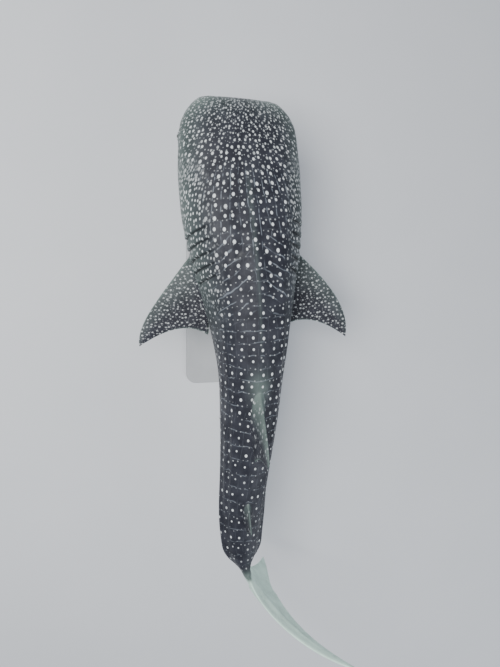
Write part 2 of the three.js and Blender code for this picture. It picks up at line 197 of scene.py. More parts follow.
# angles it slides between, the stations it slides over, width, height, stations of growth
RIDGES = [
    dict(angles=(90, 90), slide=(0, 1), width=6, height=0.22, grow=(10, 20), fade=(42, 46)),
    dict(angles=(72, 44), slide=(20, 46), width=6, height=0.22, grow=(12, 22), fade=(60, 72)),
    dict(angles=(46, 24), slide=(26, 52), width=7, height=0.24, grow=(22, 32), fade=(62, 74)),
    dict(angles=(22, 4), slide=(34, 60), width=8, height=0.26, grow=(30, 44), fade=(74, 80)),
    dict(angles=(4, 4), slide=(0, 1), width=12, height=0.5, grow=(58, 71), fade=(75, 80)),
]


def ridge_height(station, side_angle):
    """How far the ridges stand out: the sum of their bells across the flank."""
    total = 0
    for ridge in RIDGES:
        amount = smooth_step(station, *ridge["grow"]) * (1 - smooth_step(station, *ridge["fade"]))
        slid = np.clip((station - ridge["slide"][0]) / np.ptp(ridge["slide"]), 0, 1)
        centre = ridge["angles"][0] + (ridge["angles"][1] - ridge["angles"][0]) * slid
        total = total + ridge["height"] * amount * bump(side_angle, centre, ridge["width"])
    return total


def section_point(station, angle):
    """The superellipse at a station: distance to the left and height above the axis, for an
    angle that is 0 on the left flank, 90 along the back and 180 on the right flank."""
    power = 2 / squareness(station)
    c = np.cos(np.radians(angle))
    s = np.sin(np.radians(angle))
    side_angle = np.where(angle > 90, 180 - angle, angle)
    reach = ridge_height(station, side_angle)
    vertical = np.where(s >= 0, top_height(station), bottom_depth(station))
    left = np.sign(c) * (np.abs(c) ** power * half_width(station) + np.abs(c) * reach)
    height = np.sign(s) * (np.abs(s) ** power * vertical + np.abs(s) * reach)
    return left, height


print("spine ends", np.round(place(100, 0, 0), 3), "m, heading", round(spine_heading[-1], 1))

# %% [markdown]
# ## Where the grid is fine
#
# A grid that is equally fine everywhere wastes points on the plain back and starves the
# eye. Here a density says how many rows are wanted at each place, and reading its running
# sum backwards gives stations and angles that crowd together where the detail is.

# %% Stations and angles of the body grid
def crowded(low, high, count, density):
    """count values from low to high, closest where density(x) is large: equal steps of the
    density's running sum, read back as places."""
    x = np.linspace(low, high, 4001)
    running = np.concatenate([[0], np.cumsum(density((x[1:] + x[:-1]) / 2))])
    return np.interp(np.linspace(0, running[-1], count), running, x)


EYE_STATION = 5.9
EYE_ANGLE = -8
ROWS_BODY = 372
SIDE_COLUMNS = 94


def row_density(station):
    """Rows per hundredth: more on the head, at the eye, at the gills and before the tail."""
    return (
        2.5 + 4 * (station < 16) + 8 * bump(station, SNOUT_STATION, 0.7)
        + 9 * bump(station, EYE_STATION, 0.75) + 4 * bump(station, 8.7, 0.5)
        + 7.5 * smooth_step(station, 17.5, 18.5) * (1 - smooth_step(station, 28, 29.5))
        + 4 * bump(station, 77.8, 1.2)
    )


def column_density(angle):
    """Columns per degree: more along the mouth and eye, and on the ridges."""
    near_eye = 1.2 * bump(angle, -9, 12) + 3.2 * bump(angle, EYE_ANGLE, 4.5)
    return 1 + near_eye + 0.5 * bump(angle, 90, 8) + 0.3 * bump(angle, 58, 14)


body_stations = crowded(SNOUT_STATION, PEDUNCLE_END, ROWS_BODY, row_density)
side_angles = crowded(-90, 90, SIDE_COLUMNS, column_density)
body_angles = np.concatenate([side_angles, 180 - side_angles[-2:0:-1]])
print("body grid:", len(body_stations), "rows of", len(body_angles), "points")

# %% [markdown]
# ## Relief: mouth, eyes, nostrils, gills and folds
#
# These could be sculpted by hand, but then a change of size would mean sculpting again.
# Instead each is a small height, in hundredths of the length, added along the skin's
# normal: a groove is a negative bell, a lip or a lid a positive one beside it.

# %% Relief functions
MOUTH = dict(corner=4.7, front=-0.35, back=-1.15, depth=0.30, half=0.13)
GILL = dict(first=18.4, spacing=1.8, top=50, bottom=-32, shorten=2.1, rake=2.3, slant=57)
EYE_RADIUS = 0.027
SPIRACLE = dict(station=8.7, angle=0.5, radius=0.013, depth=0.24)
NOSTRIL = dict(station=0.95, left=4.35, height=0.35, ahead=0.1, radius=0.014, depth=0.2)
PIT_STATION = 77.8


def gill_relief(station, side_angle):
    """Five slits a side. Across a slit the skin drops steeply behind a raised flap and comes back
    slowly, and the slit fades at its two ends. Gives the height and a mask of painted shade in the
    slits."""
    height = 0
    dark = 0
    for index in range(5):
        bottom = GILL["bottom"] + GILL["shorten"] * index**2
        slant = np.clip((GILL["top"] - side_angle) / GILL["slant"], -0.2, 1)
        centre = GILL["first"] + GILL["spacing"] * index + GILL["rake"] * slant
        ends = smooth_step(side_angle, bottom - 2, bottom + 6)
        ends = ends * (1 - smooth_step(side_angle, GILL["top"] - 5, GILL["top"] + 2))
        behind = station - centre
        drop = -0.34 * np.where(behind < 0, bump(behind, 0, 0.1), bump(behind, 0, 0.34))
        flap = 0.09 * bump(behind, -0.42, 0.36)
        height = height + ends * (drop + flap)
        # Painted shade: each slit's opening is darkened in colour as if in shadow.
        dark = np.maximum(dark, ends * bump(behind, 0.02, 0.12))
    return height, dark


def mouth_relief(station, height_above):
    """The closed lips: a groove along the mouth line with a soft lip above and below, and a mask of
    painted shade in the groove.
    """
    run = np.clip((station - 1) / (MOUTH["corner"] - 1), 0, 1)
    line = MOUTH["front"] + (MOUTH["back"] - MOUTH["front"]) * run
    off = height_above - line
    open_part = 1 - smooth_step(station, MOUTH["corner"] - 0.7, MOUTH["corner"] + 0.4)
    groove = -MOUTH["depth"] * bump(off, 0, MOUTH["half"])
    lips = 0.11 * bump(off, 0.4, 0.26) + 0.09 * bump(off, -0.42, 0.3)
    # The second value is painted shade along the groove.
    return open_part * (groove + lips), open_part * bump(off, 0, MOUTH["half"])


def distance_from(points, centre):
    """Metres from every grid point to a place."""
    return np.linalg.norm(points - np.asarray(centre), axis=-1)


def ball_relief(points, centre):
    """The eye's setting: the skin dives under the ball inside the lid, and rises in a lid ring and a
    soft fold round it. The second value is a ring of painted shade where the skin meets the ball."""
    away = distance_from(points, centre) / EYE_RADIUS
    socket = -0.30 * (1 - smooth_step(away, 0.7, 0.95))
    lid = 0.17 * bump(away, 1.15, 0.24)
    fold = -0.07 * bump(away, 1.65, 0.2) + 0.07 * bump(away, 2.1, 0.3)
    return socket + lid + fold, bump(away, 0.98, 0.1)


def hole_relief(points, centre, radius, depth):
    """A small round opening: a pit with a low rim, and a mask of painted shade in the pit."""
    away = distance_from(points, centre) / radius
    return -depth * bump(away, 0, 0.8) + 0.25 * depth * bump(away, 1.5, 0.5), bump(away, 0, 0.75)


print("gill slits from station", GILL["first"], "mouth corner at", MOUTH["corner"])

# %% [markdown]
# ## Skin coordinates for the markings
#
# A whale shark's spots stand in rows across the back and columns along it, fine and random
# on the snout, larger and ordered behind the head. So the markings are not painted in plain
# space: every point carries its own row and column numbers, made by adding up steps of a
# spacing that grows along the body. A spot then sits near each whole number.

# %% Row and column numbers over the body
# station, spacing along the body, spacing across it, randomness of the spots' places
SPACING = [
    [-3, 0.42, 0.42, 0.9],
    [0.7, 0.46, 0.46, 0.9],
    [3, 0.56, 0.58, 0.85],
    [7, 0.80, 0.80, 0.75],
    [11, 1.15, 1.05, 0.6],
    [16, 1.60, 1.35, 0.42],
    [22, 1.80, 1.55, 0.34],
    [28, 1.85, 1.62, 0.30],
    [36, 1.95, 1.68, 0.26],
    [46, 2.20, 1.68, 0.24],
    [56, 2.60, 1.60, 0.26],
    [68, 2.70, 1.45, 0.30],
    [80, 2.30, 1.10, 0.40],
    [100, 1.6, 1.0, 0.6],
]
spacing_along = table_curve(SPACING, 1)
spacing_across = table_curve(SPACING, 2)
scatter = table_curve(SPACING, 3)

fine_station = np.linspace(-3, 100, 4121)
widening = np.gradient(half_width(fine_station), fine_station)
fine_step = np.sqrt(1 + (0.7 * widening) ** 2) / spacing_along(fine_station)
fine_row = np.concatenate([[0], np.cumsum(fine_step[1:] * np.diff(fine_station))])
fine_row = fine_row - np.interp(0, fine_station, fine_row)


def row_number(station):
    """The running count of spot rows from the snout: steps of one over the spacing."""
    return np.interp(station, fine_station, fine_row)


print("rows of spots from snout to tail fin:", round(float(row_number(PEDUNCLE_END))))

# %% [markdown]
# ## From grids to closed meshes
#
# Body and fins are all the same kind of thing: rings of points in a row, closed at both
# ends. One helper makes any of them, with the markings' coordinates as a UV map and a few
# vectors a point that tell the material what the skin is like there.

# %% Ring grids to mesh objects
def ring_faces(rows, cols):
    """Quads between neighbouring rings, with the last column joined to the first."""
    i = np.arange(rows - 1)[:, None]
    j = np.arange(cols)[None, :]
    k = (j + 1) % cols
    quads = np.stack([i * cols + j, (i + 1) * cols + j, (i + 1) * cols + k, i * cols + k], -1)
    return quads.reshape(-1, 4)


def ring_uvs(uv):
    """Corner coordinates for those quads. uv has one more column than the ring, so the seam
    keeps its own numbers on both sides."""
    corners = [uv[:-1, :-1], uv[1:, :-1], uv[1:, 1:], uv[:-1, 1:]]
    return np.stack(corners, -2).reshape(-1, 2)


def signed_volume(points, quads):
    """Six times the volume inside the quads, positive when they face outwards."""
    a, b, c, d = (points[quads[:, n]] for n in range(4))
    return np.sum(a * np.cross(b, c)) + np.sum(a * np.cross(c, d))


def ring_object(name, grid, uv, recipe):
    """A closed mesh from rings of points, with both ends capped, a UV map named SkinMap and
    one vector attribute for each entry of recipe."""
    rows, cols, _ = grid.shape
    points = grid.reshape(-1, 3)
    quads = ring_faces(rows, cols)
    caps = [np.arange(cols), np.arange((rows - 1) * cols, rows * cols)[::-1]]
    corner_uv = ring_uvs(uv)
    cap_uv = [uv[0, :-1], uv[-1, :-1][::-1]]
    if signed_volume(points - points.mean(0), quads) < 0:
        quads = quads[:, ::-1]
        corner_uv = corner_uv.reshape(-1, 4, 2)[:, ::-1].reshape(-1, 2)
        caps = [cap[::-1] for cap in caps]
        cap_uv = [cap[::-1] for cap in cap_uv]
    mesh = bpy.data.meshes.new(name)
    mesh.from_pydata(points.tolist(), [], quads.tolist() + [cap.tolist() for cap in caps])
    layer = mesh.uv_layers.new(name="SkinMap")
    layer.data.foreach_set("uv", np.concatenate([corner_uv, *cap_uv]).astype(np.float32).ravel())
    for key, values in recipe.items():
        attribute = mesh.attributes.new(key, "FLOAT_VECTOR", "POINT")
        values = np.broadcast_to(values, grid.shape).astype(np.float32)
        attribute.data.foreach_set("vector", values.ravel())
    obj = bpy.data.objects.new(name, mesh)
    bpy.context.scene.collection.objects.link(obj)
    return obj


def vectors(a, b, c, shape):
    """Three numbers a point, each given as a grid or as one number, as one array."""
    return np.stack([np.broadcast_to(v, shape) for v in (a, b, c)], -1)


# %% [markdown]
# ## The body
#
# The rings run from the snout to the root of the tail fin, then on as the thinning end of
# the backbone inside the upper lobe. In front, rings that shrink to the middle close the
# blunt face, swelling a little forward so that it is not a flat cut.

# %% Body surface with its relief
CORE_END = [97.3, 14.2]
CORE_RADIUS = 2.45
CORE_SHOWN = 0.5
FACE_SWELL = 0.2
FACE_MIDDLE = -0.35
FACE_RINGS = 14
CORE_RINGS = 16


def core_point(run, angle):
    """The stub of the backbone at the root of the upper lobe: run is the share of the lobe,
    and the section thins like a wedge until the blade has swallowed it, at CORE_SHOWN."""
    left0, height0 = section_point(np.full_like(run, PEDUNCLE_END), angle)
    thin = np.clip(1 - run / CORE_SHOWN, 0, 1)
    left = left0 * thin**1.3
    height = height0 * (0.7 + 0.3 * thin) * (1 - run) ** 1.4 + CORE_END[1] * run**1.25
    return left, height


def girth_from_back(left, height):
    """Arc length round each ring from the middle of the back, positive to the left, with one
    more column at the end for the seam under the belly."""
    ring = np.stack([left, height], -1)
    ring = np.concatenate([ring, ring[:, :1]], 1)
    arc = np.cumsum(np.linalg.norm(np.diff(ring, axis=1), axis=-1), axis=1)
    arc = np.concatenate([np.zeros((len(ring), 1)), arc], 1)
    back = SIDE_COLUMNS - 1
    return arc[:, back : back + 1] - arc


face_scale = np.sin(np.linspace(0.02, np.pi / 2, FACE_RINGS, endpoint=False))
core_run = CORE_SHOWN * np.linspace(0, 0.96, CORE_RINGS + 1)[1:]
angle_row = body_angles[None, :]

left, height = section_point(body_stations[:, None], angle_row)
face_left, face_height = section_point(np.full((1, 1), SNOUT_STATION), angle_row)
core_left, core_height = core_point(core_run[:, None], angle_row)
core_station = PEDUNCLE_END + core_run * (CORE_END[0] - PEDUNCLE_END)

left = np.concatenate([face_scale[:, None] * face_left, left, core_left])
height = np.concatenate(
    [FACE_MIDDLE + face_scale[:, None] * (face_height - FACE_MIDDLE), height, core_height])
station = np.concatenate(
    [SNOUT_STATION - FACE_SWELL * (1 - face_scale**2), body_stations, core_station])[:, None]
station = np.broadcast_to(station, left.shape)
side_angle = np.where(angle_row > 90, 180 - angle_row, angle_row) + 0 * left

grid = place(np.maximum(station, SNOUT_STATION), left, height)
forward = np.array([math.cos(math.radians(SNOUT_HEADING)), math.sin(math.radians(SNOUT_HEADING)), 0])
grid = grid + np.maximum(SNOUT_STATION - station, 0)[..., None] * PCT * forward


def grid_normals(points):
    """Outward unit normals: the cross product of the grid's two directions, averaged over
    neighbours, with the ring closed on itself."""
    along = np.gradient(points, axis=0)
    across = np.roll(points, -1, 1) - np.roll(points, 1, 1)
    normal = np.cross(across, along)
    return normal / np.maximum(np.linalg.norm(normal, axis=-1, keepdims=True), 1e-12)


plain_grid = grid
normals = grid_normals(grid)
outwards = np.sum(normals * (grid - grid.mean(1, keepdims=True)))
normals = normals * np.sign(outwards)

gill_height, gill_slit_shade = gill_relief(station, side_angle)
mouth_height, mouth_groove_shade = mouth_relief(station, height)
relief = gill_height + mouth_height
# Painted shade in the gill slits, the mouth groove, the rims of the eyes, the spiracles and the
# nostrils.
dark = np.maximum(gill_slit_shade, 0.9 * mouth_groove_shade)

eye_places = {}
for side_name, turn in (("left", 1), ("right", -1)):
    eye_angle = EYE_ANGLE if turn > 0 else 180 - EYE_ANGLE
    eye_surface = place(EYE_STATION, *section_point(EYE_STATION, np.array(float(eye_angle))))
    nearest = np.argmin(distance_from(grid, eye_surface))
    eye_normal = normals.reshape(-1, 3)[nearest]
    eye_places[side_name] = (eye_surface, eye_normal)
    eye_height, eye_rim_shade = ball_relief(grid, eye_surface)
    hole_angle = SPIRACLE["angle"] if turn > 0 else 180 - SPIRACLE["angle"]
    hole_place = place(SPIRACLE["station"], *section_point(SPIRACLE["station"], np.array(hole_angle)))
    hole_height, spiracle_shade = hole_relief(
        grid, hole_place, SPIRACLE["radius"], SPIRACLE["depth"])
    nostril_place = place(NOSTRIL["station"], turn * NOSTRIL["left"], NOSTRIL["height"])
    nostril_place = nostril_place + forward * PCT * NOSTRIL["ahead"]
    nostril_height, nostril_shade = hole_relief(
        grid, nostril_place, NOSTRIL["radius"], NOSTRIL["depth"])
    relief = relief + eye_height + hole_height + nostril_height
    dark = np.maximum.reduce([dark, 0.8 * eye_rim_shade, spiracle_shade, 0.7 * nostril_shade])

pit = -0.22 * bump(station, PIT_STATION, 0.4) * bump(side_angle, 90, 30)
relief = relief + pit
core_part = smooth_step(station, PEDUNCLE_END - 0.5, PEDUNCLE_END)
relief = relief * (1 - core_part)
grid = grid + normals * (relief * PCT)[..., None]
print("body surface:", grid.shape[0], "x", grid.shape[1], "relief from",
      round(float(relief.min() * PCT * 1000), 1), "to", round(float(relief.max() * PCT * 1000), 1), "mm")

# %% [markdown]
# ## What the skin is like, place by place
#
# Four vectors go with each point. The first holds the spot spacing along and across, and how scattered
# the spots are. The second holds how white the underside is, how pale and greenish the skin, with
# painted highlights on the fins' edges and at the root of the first dorsal fin, and how much painted
# shade darkens a crease or opening. The third holds the spots' radius, the strength of the thin lines
# across the body, and the strength of the spots. The fourth holds where the flank's dense dots, the
# lengthwise dashes and the slanted shoulder lines are.

# %% The body's recipe and object
def pale_of_tail(at_station):
    """The tail fin is nearly white: the slate fades out over its root."""
    return smooth_step(at_station, 77.8, 81.0)


belly_edge = -14 + 6 * smooth_step(station, 14, 2) + 6 * smooth_step(station, 50, 76)
belly = smooth_step(side_angle, belly_edge, belly_edge - 26)
belly = belly * smooth_step(station, 80.0, 76.0)
belly = belly * np.maximum(smooth_step(station, 1.5, 5.0), smooth_step(height, -2.2, -3.3))
tail_pale = pale_of_tail(station)
to_side = np.abs(np.cos(np.radians(side_angle)))
snout_pale = np.exp(-np.maximum(station - SNOUT_STATION, 0) / 1.5) * (0.15 + 0.6 * to_side)
cheek_pale = 0.5 * smooth_step(side_angle, 66, -8) * (1 - smooth_step(station, 22, 40))
# Painted highlight on the back at the root of the first dorsal fin, where its front edge catches the
# light.
dorsal_root_highlight = 0.45 * bump(station, 43.4, 2.2) * bump(side_angle, 90, 16)
back_line = 0.16 * bump(side_angle, 90, 1.3) * smooth_step(station, 10, 14)
back_line = back_line * (1 - smooth_step(station, 32, 42))
pale = np.minimum(snout_pale + cheek_pale + dorsal_root_highlight + back_line, 0.72)
pale = np.maximum(tail_pale, pale)
jaw = smooth_step(height, -0.8, -1.8) * smooth_step(station, 7.0, 4.0)
flank = smooth_step(side_angle, 62, 36) * smooth_step(station, 8, 14)
flank = flank * (1 - smooth_step(station, 25, 34))
lengthwise = smooth_step(station, 9.5, 12) * (1 - smooth_step(station, 22, 30))
shoulder = smooth_step(station, 19, 22) * (1 - smooth_step(station, 30, 34))
shoulder = shoulder * smooth_step(side_angle, 88, 78) * smooth_step(side_angle, 22, 38)

# station, spot radius, strength of cross lines, strength of spots
MARKS = [
    [-3, 0.10, 0.0, 0.55],
    [0.7, 0.11, 0.0, 0.6],
    [3, 0.10, 0.0, 0.75],
    [7, 0.13, 0.0, 0.85],
    [11, 0.17, 0.0, 0.95],
    [16, 0.19, 0.1, 1.0],
    [22, 0.19, 0.3, 1.0],
    [30, 0.17, 0.5, 1.0],
    [44, 0.18, 0.75, 1.0],
    [60, 0.165, 0.75, 1.0],
    [74, 0.145, 0.5, 0.9],
    [78, 0.135, 0.2, 0.5],
    [81, 0.12, 0.0, 0.0],
    [100, 0.12, 0.0, 0.0],
]
spot_radius, line_strength, spot_strength = (table_curve(MARKS, c) for c in (1, 2, 3))


def rows_along(points, stations, true_until):
    """Row numbers over the grid. Behind true_until they depend on the station alone. In
    front of it they count back along each column's own length, so that the steep face gets
    round spots too."""
    step = np.linalg.norm(np.diff(points, axis=0), axis=-1) / PCT
    middle = (stations[1:] + stations[:-1]) / 2
    own = np.concatenate([np.zeros((1, points.shape[1])),
                          np.cumsum(step / spacing_along(middle), axis=0)])
    start = np.argmax(stations[:, 0] > true_until)
    own = own - own[start] + row_number(stations[start, 0])
    return np.where(stations > true_until, row_number(stations), own)


COLUMN_SHIFT = 0.37
girth = girth_from_back(left, height)
station_seam = np.concatenate([station, station[:, :1]], 1)


def face_map(girths, rows_own, heights):
    """Spots must not crowd where the rings shrink to the middle of the face. So there the
    map is flat: the upper half keeps its distance from the middle line, the lower half its
    distance from the middle of the belly, and rows count up from the rim. The two halves
    meet along the mouth."""
    scale = face_scale[:, None]
    rim = girths[FACE_RINGS][None, :]
    seam_angles = np.concatenate([body_angles, body_angles[:1] + 360])[None, :]
    upper = (seam_angles > 0) & (seam_angles < 180)
    half_round = np.where(rim > 0, girths[FACE_RINGS, 0], girths[FACE_RINGS, -1])
    girths[:FACE_RINGS] = np.where(upper, scale * rim, half_round - scale * (half_round - rim))
    drop = np.abs(heights[FACE_RINGS] - FACE_MIDDLE)[None, :] / spacing_along(SNOUT_STATION)
    rows_own[:FACE_RINGS] = rows_own[FACE_RINGS] - (1 - scale) * drop


height_seam = np.concatenate([height, height[:, :1]], 1)
along_number = rows_along(plain_grid, station, 8.0)
along_number = np.concatenate([along_number, along_number[:, :1]], 1)
face_map(girth, along_number, height_seam)
across_number = girth / spacing_across(station_seam) + COLUMN_SHIFT
body_uv = np.stack([along_number, across_number], -1)
shape = left.shape
body_recipe = {
    "spacing": vectors(spacing_along(station), spacing_across(station), scatter(station), shape),
    "tone": vectors(belly, pale, dark, shape),
    "marks": vectors(spot_radius(station), line_strength(station),
                     spot_strength(station) * (1 - 0.75 * jaw), shape),
    "zones": vectors(flank, lengthwise, shoulder, shape),
}
body = ring_object("skin", grid, body_uv, body_recipe)
print("body:", len(body.data.vertices), "points")

# %% [markdown]
# ## Fins
#
# A fin is a blade: a front outline, a hind outline and a foil section between them, thick
# near its front third and thin at both edges. The outlines are curves with four control
# points. Near the body the blade flares, so that it grows out of the skin as real fins do.

# %% Fin outlines and the blade surface
PECTORAL = dict(
    leading_left=[[7.2, 21.8], [12.0, 27.8], [18.1, 33.3], [17.6, 38.3]],
    leading_right=[[7.2, 21.6], [12.6, 27.2], [18.7, 33.2], [17.6, 38.3]],
    inner=[[6.4, 32.0], [6.1, 34.0], [5.9, 35.4], [6.3, 36.9]],
    trailing=[[6.3, 36.9], [9.2, 34.5], [12.9, 35.0], [17.6, 38.3]],
    root_height=-3.4, thickness=1.15, flare=0.75, flare_reach=0.8)
PECTORAL_TILT = dict(left=-4, right=11)
FIRST_DORSAL = dict(
    leading=[[42.6, 6.0], [46.6, 9.2], [50.4, 13.6], [53.0, 14.3]],
    inner=[[52.9, 4.6], [53.6, 5.8], [54.4, 6.6], [56.0, 6.8]],
    trailing=[[56.0, 6.8], [54.3, 8.2], [53.5, 11.0], [54.0, 13.8]],
    thickness=0.95, flare=0.7, flare_reach=0.7)
SECOND_DORSAL = dict(
    leading=[[63.3, 3.6], [65.4, 5.4], [66.9, 7.0], [68.2, 7.4]],
    inner=[[68.1, 2.8], [68.5, 3.8], [68.9, 4.3], [70.0, 4.5]],
    trailing=[[70.0, 4.5], [69.1, 5.1], [68.7, 6.2], [68.8, 7.2]],
    thickness=0.62, flare=0.45, flare_reach=0.45)
ANAL = dict(
    leading=[[65.8, -2.6], [67.7, -4.6], [69.0, -6.3], [70.2, -6.8]],
    inner=[[70.0, -2.2], [70.3, -3.2], [70.7, -3.6], [71.7, -3.9]],
    trailing=[[71.7, -3.9], [70.9, -4.5], [70.5, -5.5], [70.8, -6.6]],
    thickness=0.58, flare=0.4, flare_reach=0.45)
PELVIC = dict(
    leading=[[-1.2, 48.4], [1.7, 49.7], [3.8, 52.0], [4.2, 54.0]],
    inner=[[-1.0, 52.8], [0.2, 53.3], [1.2, 53.8], [1.6, 55.6]],
    trailing=[[1.6, 55.6], [2.2, 54.0], [3.2, 53.8], [4.2, 54.0]],
    side=1.0, root_height=-4.2, tilt=-60, thickness=0.7, flare=0.35, flare_reach=0.5)
EDGE = 0.06
INNER_SHARE = 0.2
FIN_MAP_SHIFT = 40


def bezier(points, t):
    """A curve with four control points, weighted by the cubic Bernstein terms of t."""
    u = 1 - np.asarray(t, float)
    t = 1 - u
    weights = np.stack([u**3, 3 * u**2 * t, 3 * u * t**2, t**3], -1)
    return weights @ np.array(points, float)


def hind_edge(fin, t):
    """The free inner margin for the first share of t, then the trailing edge to the tip."""
    inner = bezier(fin["inner"], np.clip(t / INNER_SHARE, 0, 1))
    trailing = bezier(fin["trailing"], np.clip((t - INNER_SHARE) / (1 - INNER_SHARE), 0, 1))
    return np.where((t < INNER_SHARE)[:, None], inner, trailing)


def foil(chord, thickness):
    """Half thickness over the chord: a root of the chord in front, a straight run out
    behind, and a small rounded edge all round."""
    body = 1.3 * thickness * np.sqrt(chord) * (1 - chord) * (1 - 0.25 * chord)
    rounding = EDGE * np.sqrt(np.clip(1 - (2 * chord - 1) ** 8, 0, 1))
    return np.maximum(body, 0) + rounding


def blade_grid(front, back, thickness, flare, place_blade, columns):
    """Rings round the blade from the root to the tip. front and back are the outlines' rows,
    flare(p) adds half thickness near the body, place_blade puts (p, offset) into the frame."""
    chord = (1 - np.cos(np.linspace(0, np.pi, columns))) / 2
    p = front[:, None] + (back - front)[:, None] * chord[None, :, None]
    half = foil(chord[None, :], thickness[:, None])
    rounding = np.sqrt(np.clip(4 * chord * (1 - chord), 0, 1))
    half = half + flare(p) * rounding
    upper = place_blade(p, half)
    lower = place_blade(p, -half)[:, -2:0:-1]
    flat = np.concatenate([p, p[:, -2:0:-1], p[:, :1]], 1)
    return np.concatenate([upper, lower], 1), flat, chord


def fin_rows(count):
    """Row positions from root to tip, closer together at the tip."""
    return 1 - (1 - np.linspace(0, 0.995, count)) ** 1.4


def fin_thickness(fin, t):
    """Thickness falls from the root to under a fifth of it at the tip."""
    return fin["thickness"] * (1 - 0.82 * t**0.8)


# %% [markdown]
# The pectorals lie nearly level, the pelvics hang from the belly, and the other fins stand
# upright on the middle line. Each kind has its own way into the frame.

# %% Fin objects
def body_side(station, height_above):
    """The body's half width at a height: the superellipse solved for its width."""
    share = np.clip(np.abs(height_above) / bottom_depth(station), 0, 0.98)
    n = squareness(station)
    return half_width(station) * (1 - share**n) ** (1 / n)


def fin_recipe(flat_shape, pitch, scatter_amount, belly_grid, pale_grid, crease_shade_grid, radius, strength):
    """The four recipe vectors of a fin: even, fine, scattered spots without cross lines."""
    return {
        "spacing": vectors(pitch, pitch, scatter_amount, flat_shape),
        # The tone's third number is painted shade for creases, none on the fins.
        "tone": vectors(belly_grid, pale_grid, crease_shade_grid, flat_shape),
        "marks": vectors(radius, 0.0, strength, flat_shape),
        "zones": vectors(0.0, 0.0, 0.0, flat_shape),
    }


def make_fin(name, fin, place_blade, gap_from_body, rows, columns, look):
    """One fin as a closed object. look gives the spots' spacing and strength, how white the lower face
    is and how strong a painted highlight on the front part is. A thin painted highlight also runs along
    the edges."""
    t = fin_rows(rows)
    grid, flat, chord = blade_grid(
        bezier(fin["leading"], t), hind_edge(fin, t), fin_thickness(fin, t),
        lambda p: fin["flare"] * np.exp(-np.maximum(gap_from_body(p), 0) / fin["flare_reach"]),
        place_blade, columns)
    ring_chord = np.concatenate([chord, chord[-2:0:-1]])[None, :] + 0 * grid[..., 0]
    lower = np.concatenate([np.zeros(columns), np.ones(columns - 2)])[None, :]
    tip = t[:, None] + 0 * ring_chord
    # Painted highlight: the fin's edges and its front part are paled as if catching the light.
    rim = np.maximum(bump(ring_chord, 0, 0.035), bump(ring_chord, 1, 0.03))
    front_highlight = look["front"] * smooth_step(ring_chord, 0.55, 0.03) * (1 - 0.5 * tip)
    pale = np.clip(np.maximum(0.6 * rim, front_highlight), 0, 1)
    belly = look["underside"] * lower * smooth_step(ring_chord, 0.0, 0.12)
    pitch = look["pitch"]
    recipe = fin_recipe(
        ring_chord.shape, pitch, 0.75, belly, pale, 0.0, look["radius"], look["strength"])
    return ring_object(name, grid, flat / pitch + FIN_MAP_SHIFT, recipe)


def pectoral_place(turn, tilt):
    """Level blade: its rise is the tilt's slope times the distance out from the root."""
    slope = math.tan(math.radians(tilt))
    root = half_width(24)

    def put(p, offset):
        """A blade point, offset by half the blade's thickness, in the frame."""
        rise = PECTORAL["root_height"] + slope * (p[..., 0] - root)
        return place(p[..., 1], turn * p[..., 0], rise + offset)

    return put


def pelvic_place(turn):
    """Blade tilted down and out from the belly, its thickness square to the tilt."""
    c = math.cos(math.radians(PELVIC["tilt"]))
    s = math.sin(math.radians(PELVIC["tilt"]))

    def put(p, offset):
        """A blade point, offset by half the blade's thickness, in the frame."""
        out = PELVIC["side"] + p[..., 0] * c - offset * s
        return place(p[..., 1], turn * out, PELVIC["root_height"] + p[..., 0] * s + offset * c)

    return put


def upright_place(p, offset):
    """Blade on the middle line: its thickness runs to the left and right."""
    return place(p[..., 0], offset, p[..., 1])


def above_back(p):
    """Distance above the back, for the upright fins on it."""
    return p[..., 1] - top_height(p[..., 0])


def below_belly(p):
    """Distance below the belly, for the anal fin."""
    return -p[..., 1] - bottom_depth(p[..., 0])


def beside_body(p):
    """Distance out from the flank, for the pectoral fins."""
    return p[..., 0] - body_side(p[..., 1], PECTORAL["root_height"])


def out_of_belly(p):
    """Distance out along a pelvic fin from where it leaves the belly."""
    return p[..., 0] - 0.3


# front sets the strength of the painted highlight on a fin's front part, strongest on the first dorsal
# fin.
SPOTTED = dict(pitch=0.72, radius=0.115, strength=0.6, underside=0.85, front=0.25)
PLAIN = dict(pitch=1.3, radius=0.17, strength=0.4, underside=0.0, front=0.3)
GLEAMING = dict(PLAIN, front=0.78)
fins = []
for side_name, turn in (("left", 1), ("right", -1)):
    pectoral = dict(PECTORAL, leading=PECTORAL["leading_" + side_name])
    fins.append(make_fin(
        "pectoral_" + side_name, pectoral, pectoral_place(turn, PECTORAL_TILT[side_name]),
        beside_body, 60, 32, SPOTTED))
    fins.append(make_fin(
        "pelvic_" + side_name, PELVIC, pelvic_place(turn), out_of_belly, 28, 18, SPOTTED))
fins.append(make_fin("dorsal_1", FIRST_DORSAL, upright_place, above_back, 48, 26, GLEAMING))
fins.append(make_fin("dorsal_2", SECOND_DORSAL, upright_place, above_back, 28, 18, PLAIN))
fins.append(make_fin("anal", ANAL, upright_place, below_belly, 28, 18, PLAIN))
print("fins:", [fin.name for fin in fins])

# %% [markdown]
# The tail fin is one blade from the tip of its upper lobe to the tip of its lower lobe. Its front
# outline runs down the upper lobe, through the root and on down the lower lobe, and its hind outline has
# the notch between the lobes. The control points are rounded results of a least-squares fit to the
# photo's outline, apart from one that was moved.

# %% Tail fin
CAUDAL = dict(
    upper_leading=[[79.5, 2.32], [84.6, 6.1], [91.8, 11.6], [98.7, 15.5]],
    upper_trailing=[[98.9, 14.9], [95.5, 11.2], [90.7, 6.5], [89.7, -1.1]],
    lower_leading=[[79.5, -2.22], [83.4, -4.2], [87.2, -8.0], [90.2, -13.0]],
    lower_trailing=[[90.4, -12.7], [90.3, -7.3], [88.3, -3.5], [89.7, -1.1]],
    thickness=0.5, pitch=1.1)
NOTCH_SHARE = 0.58


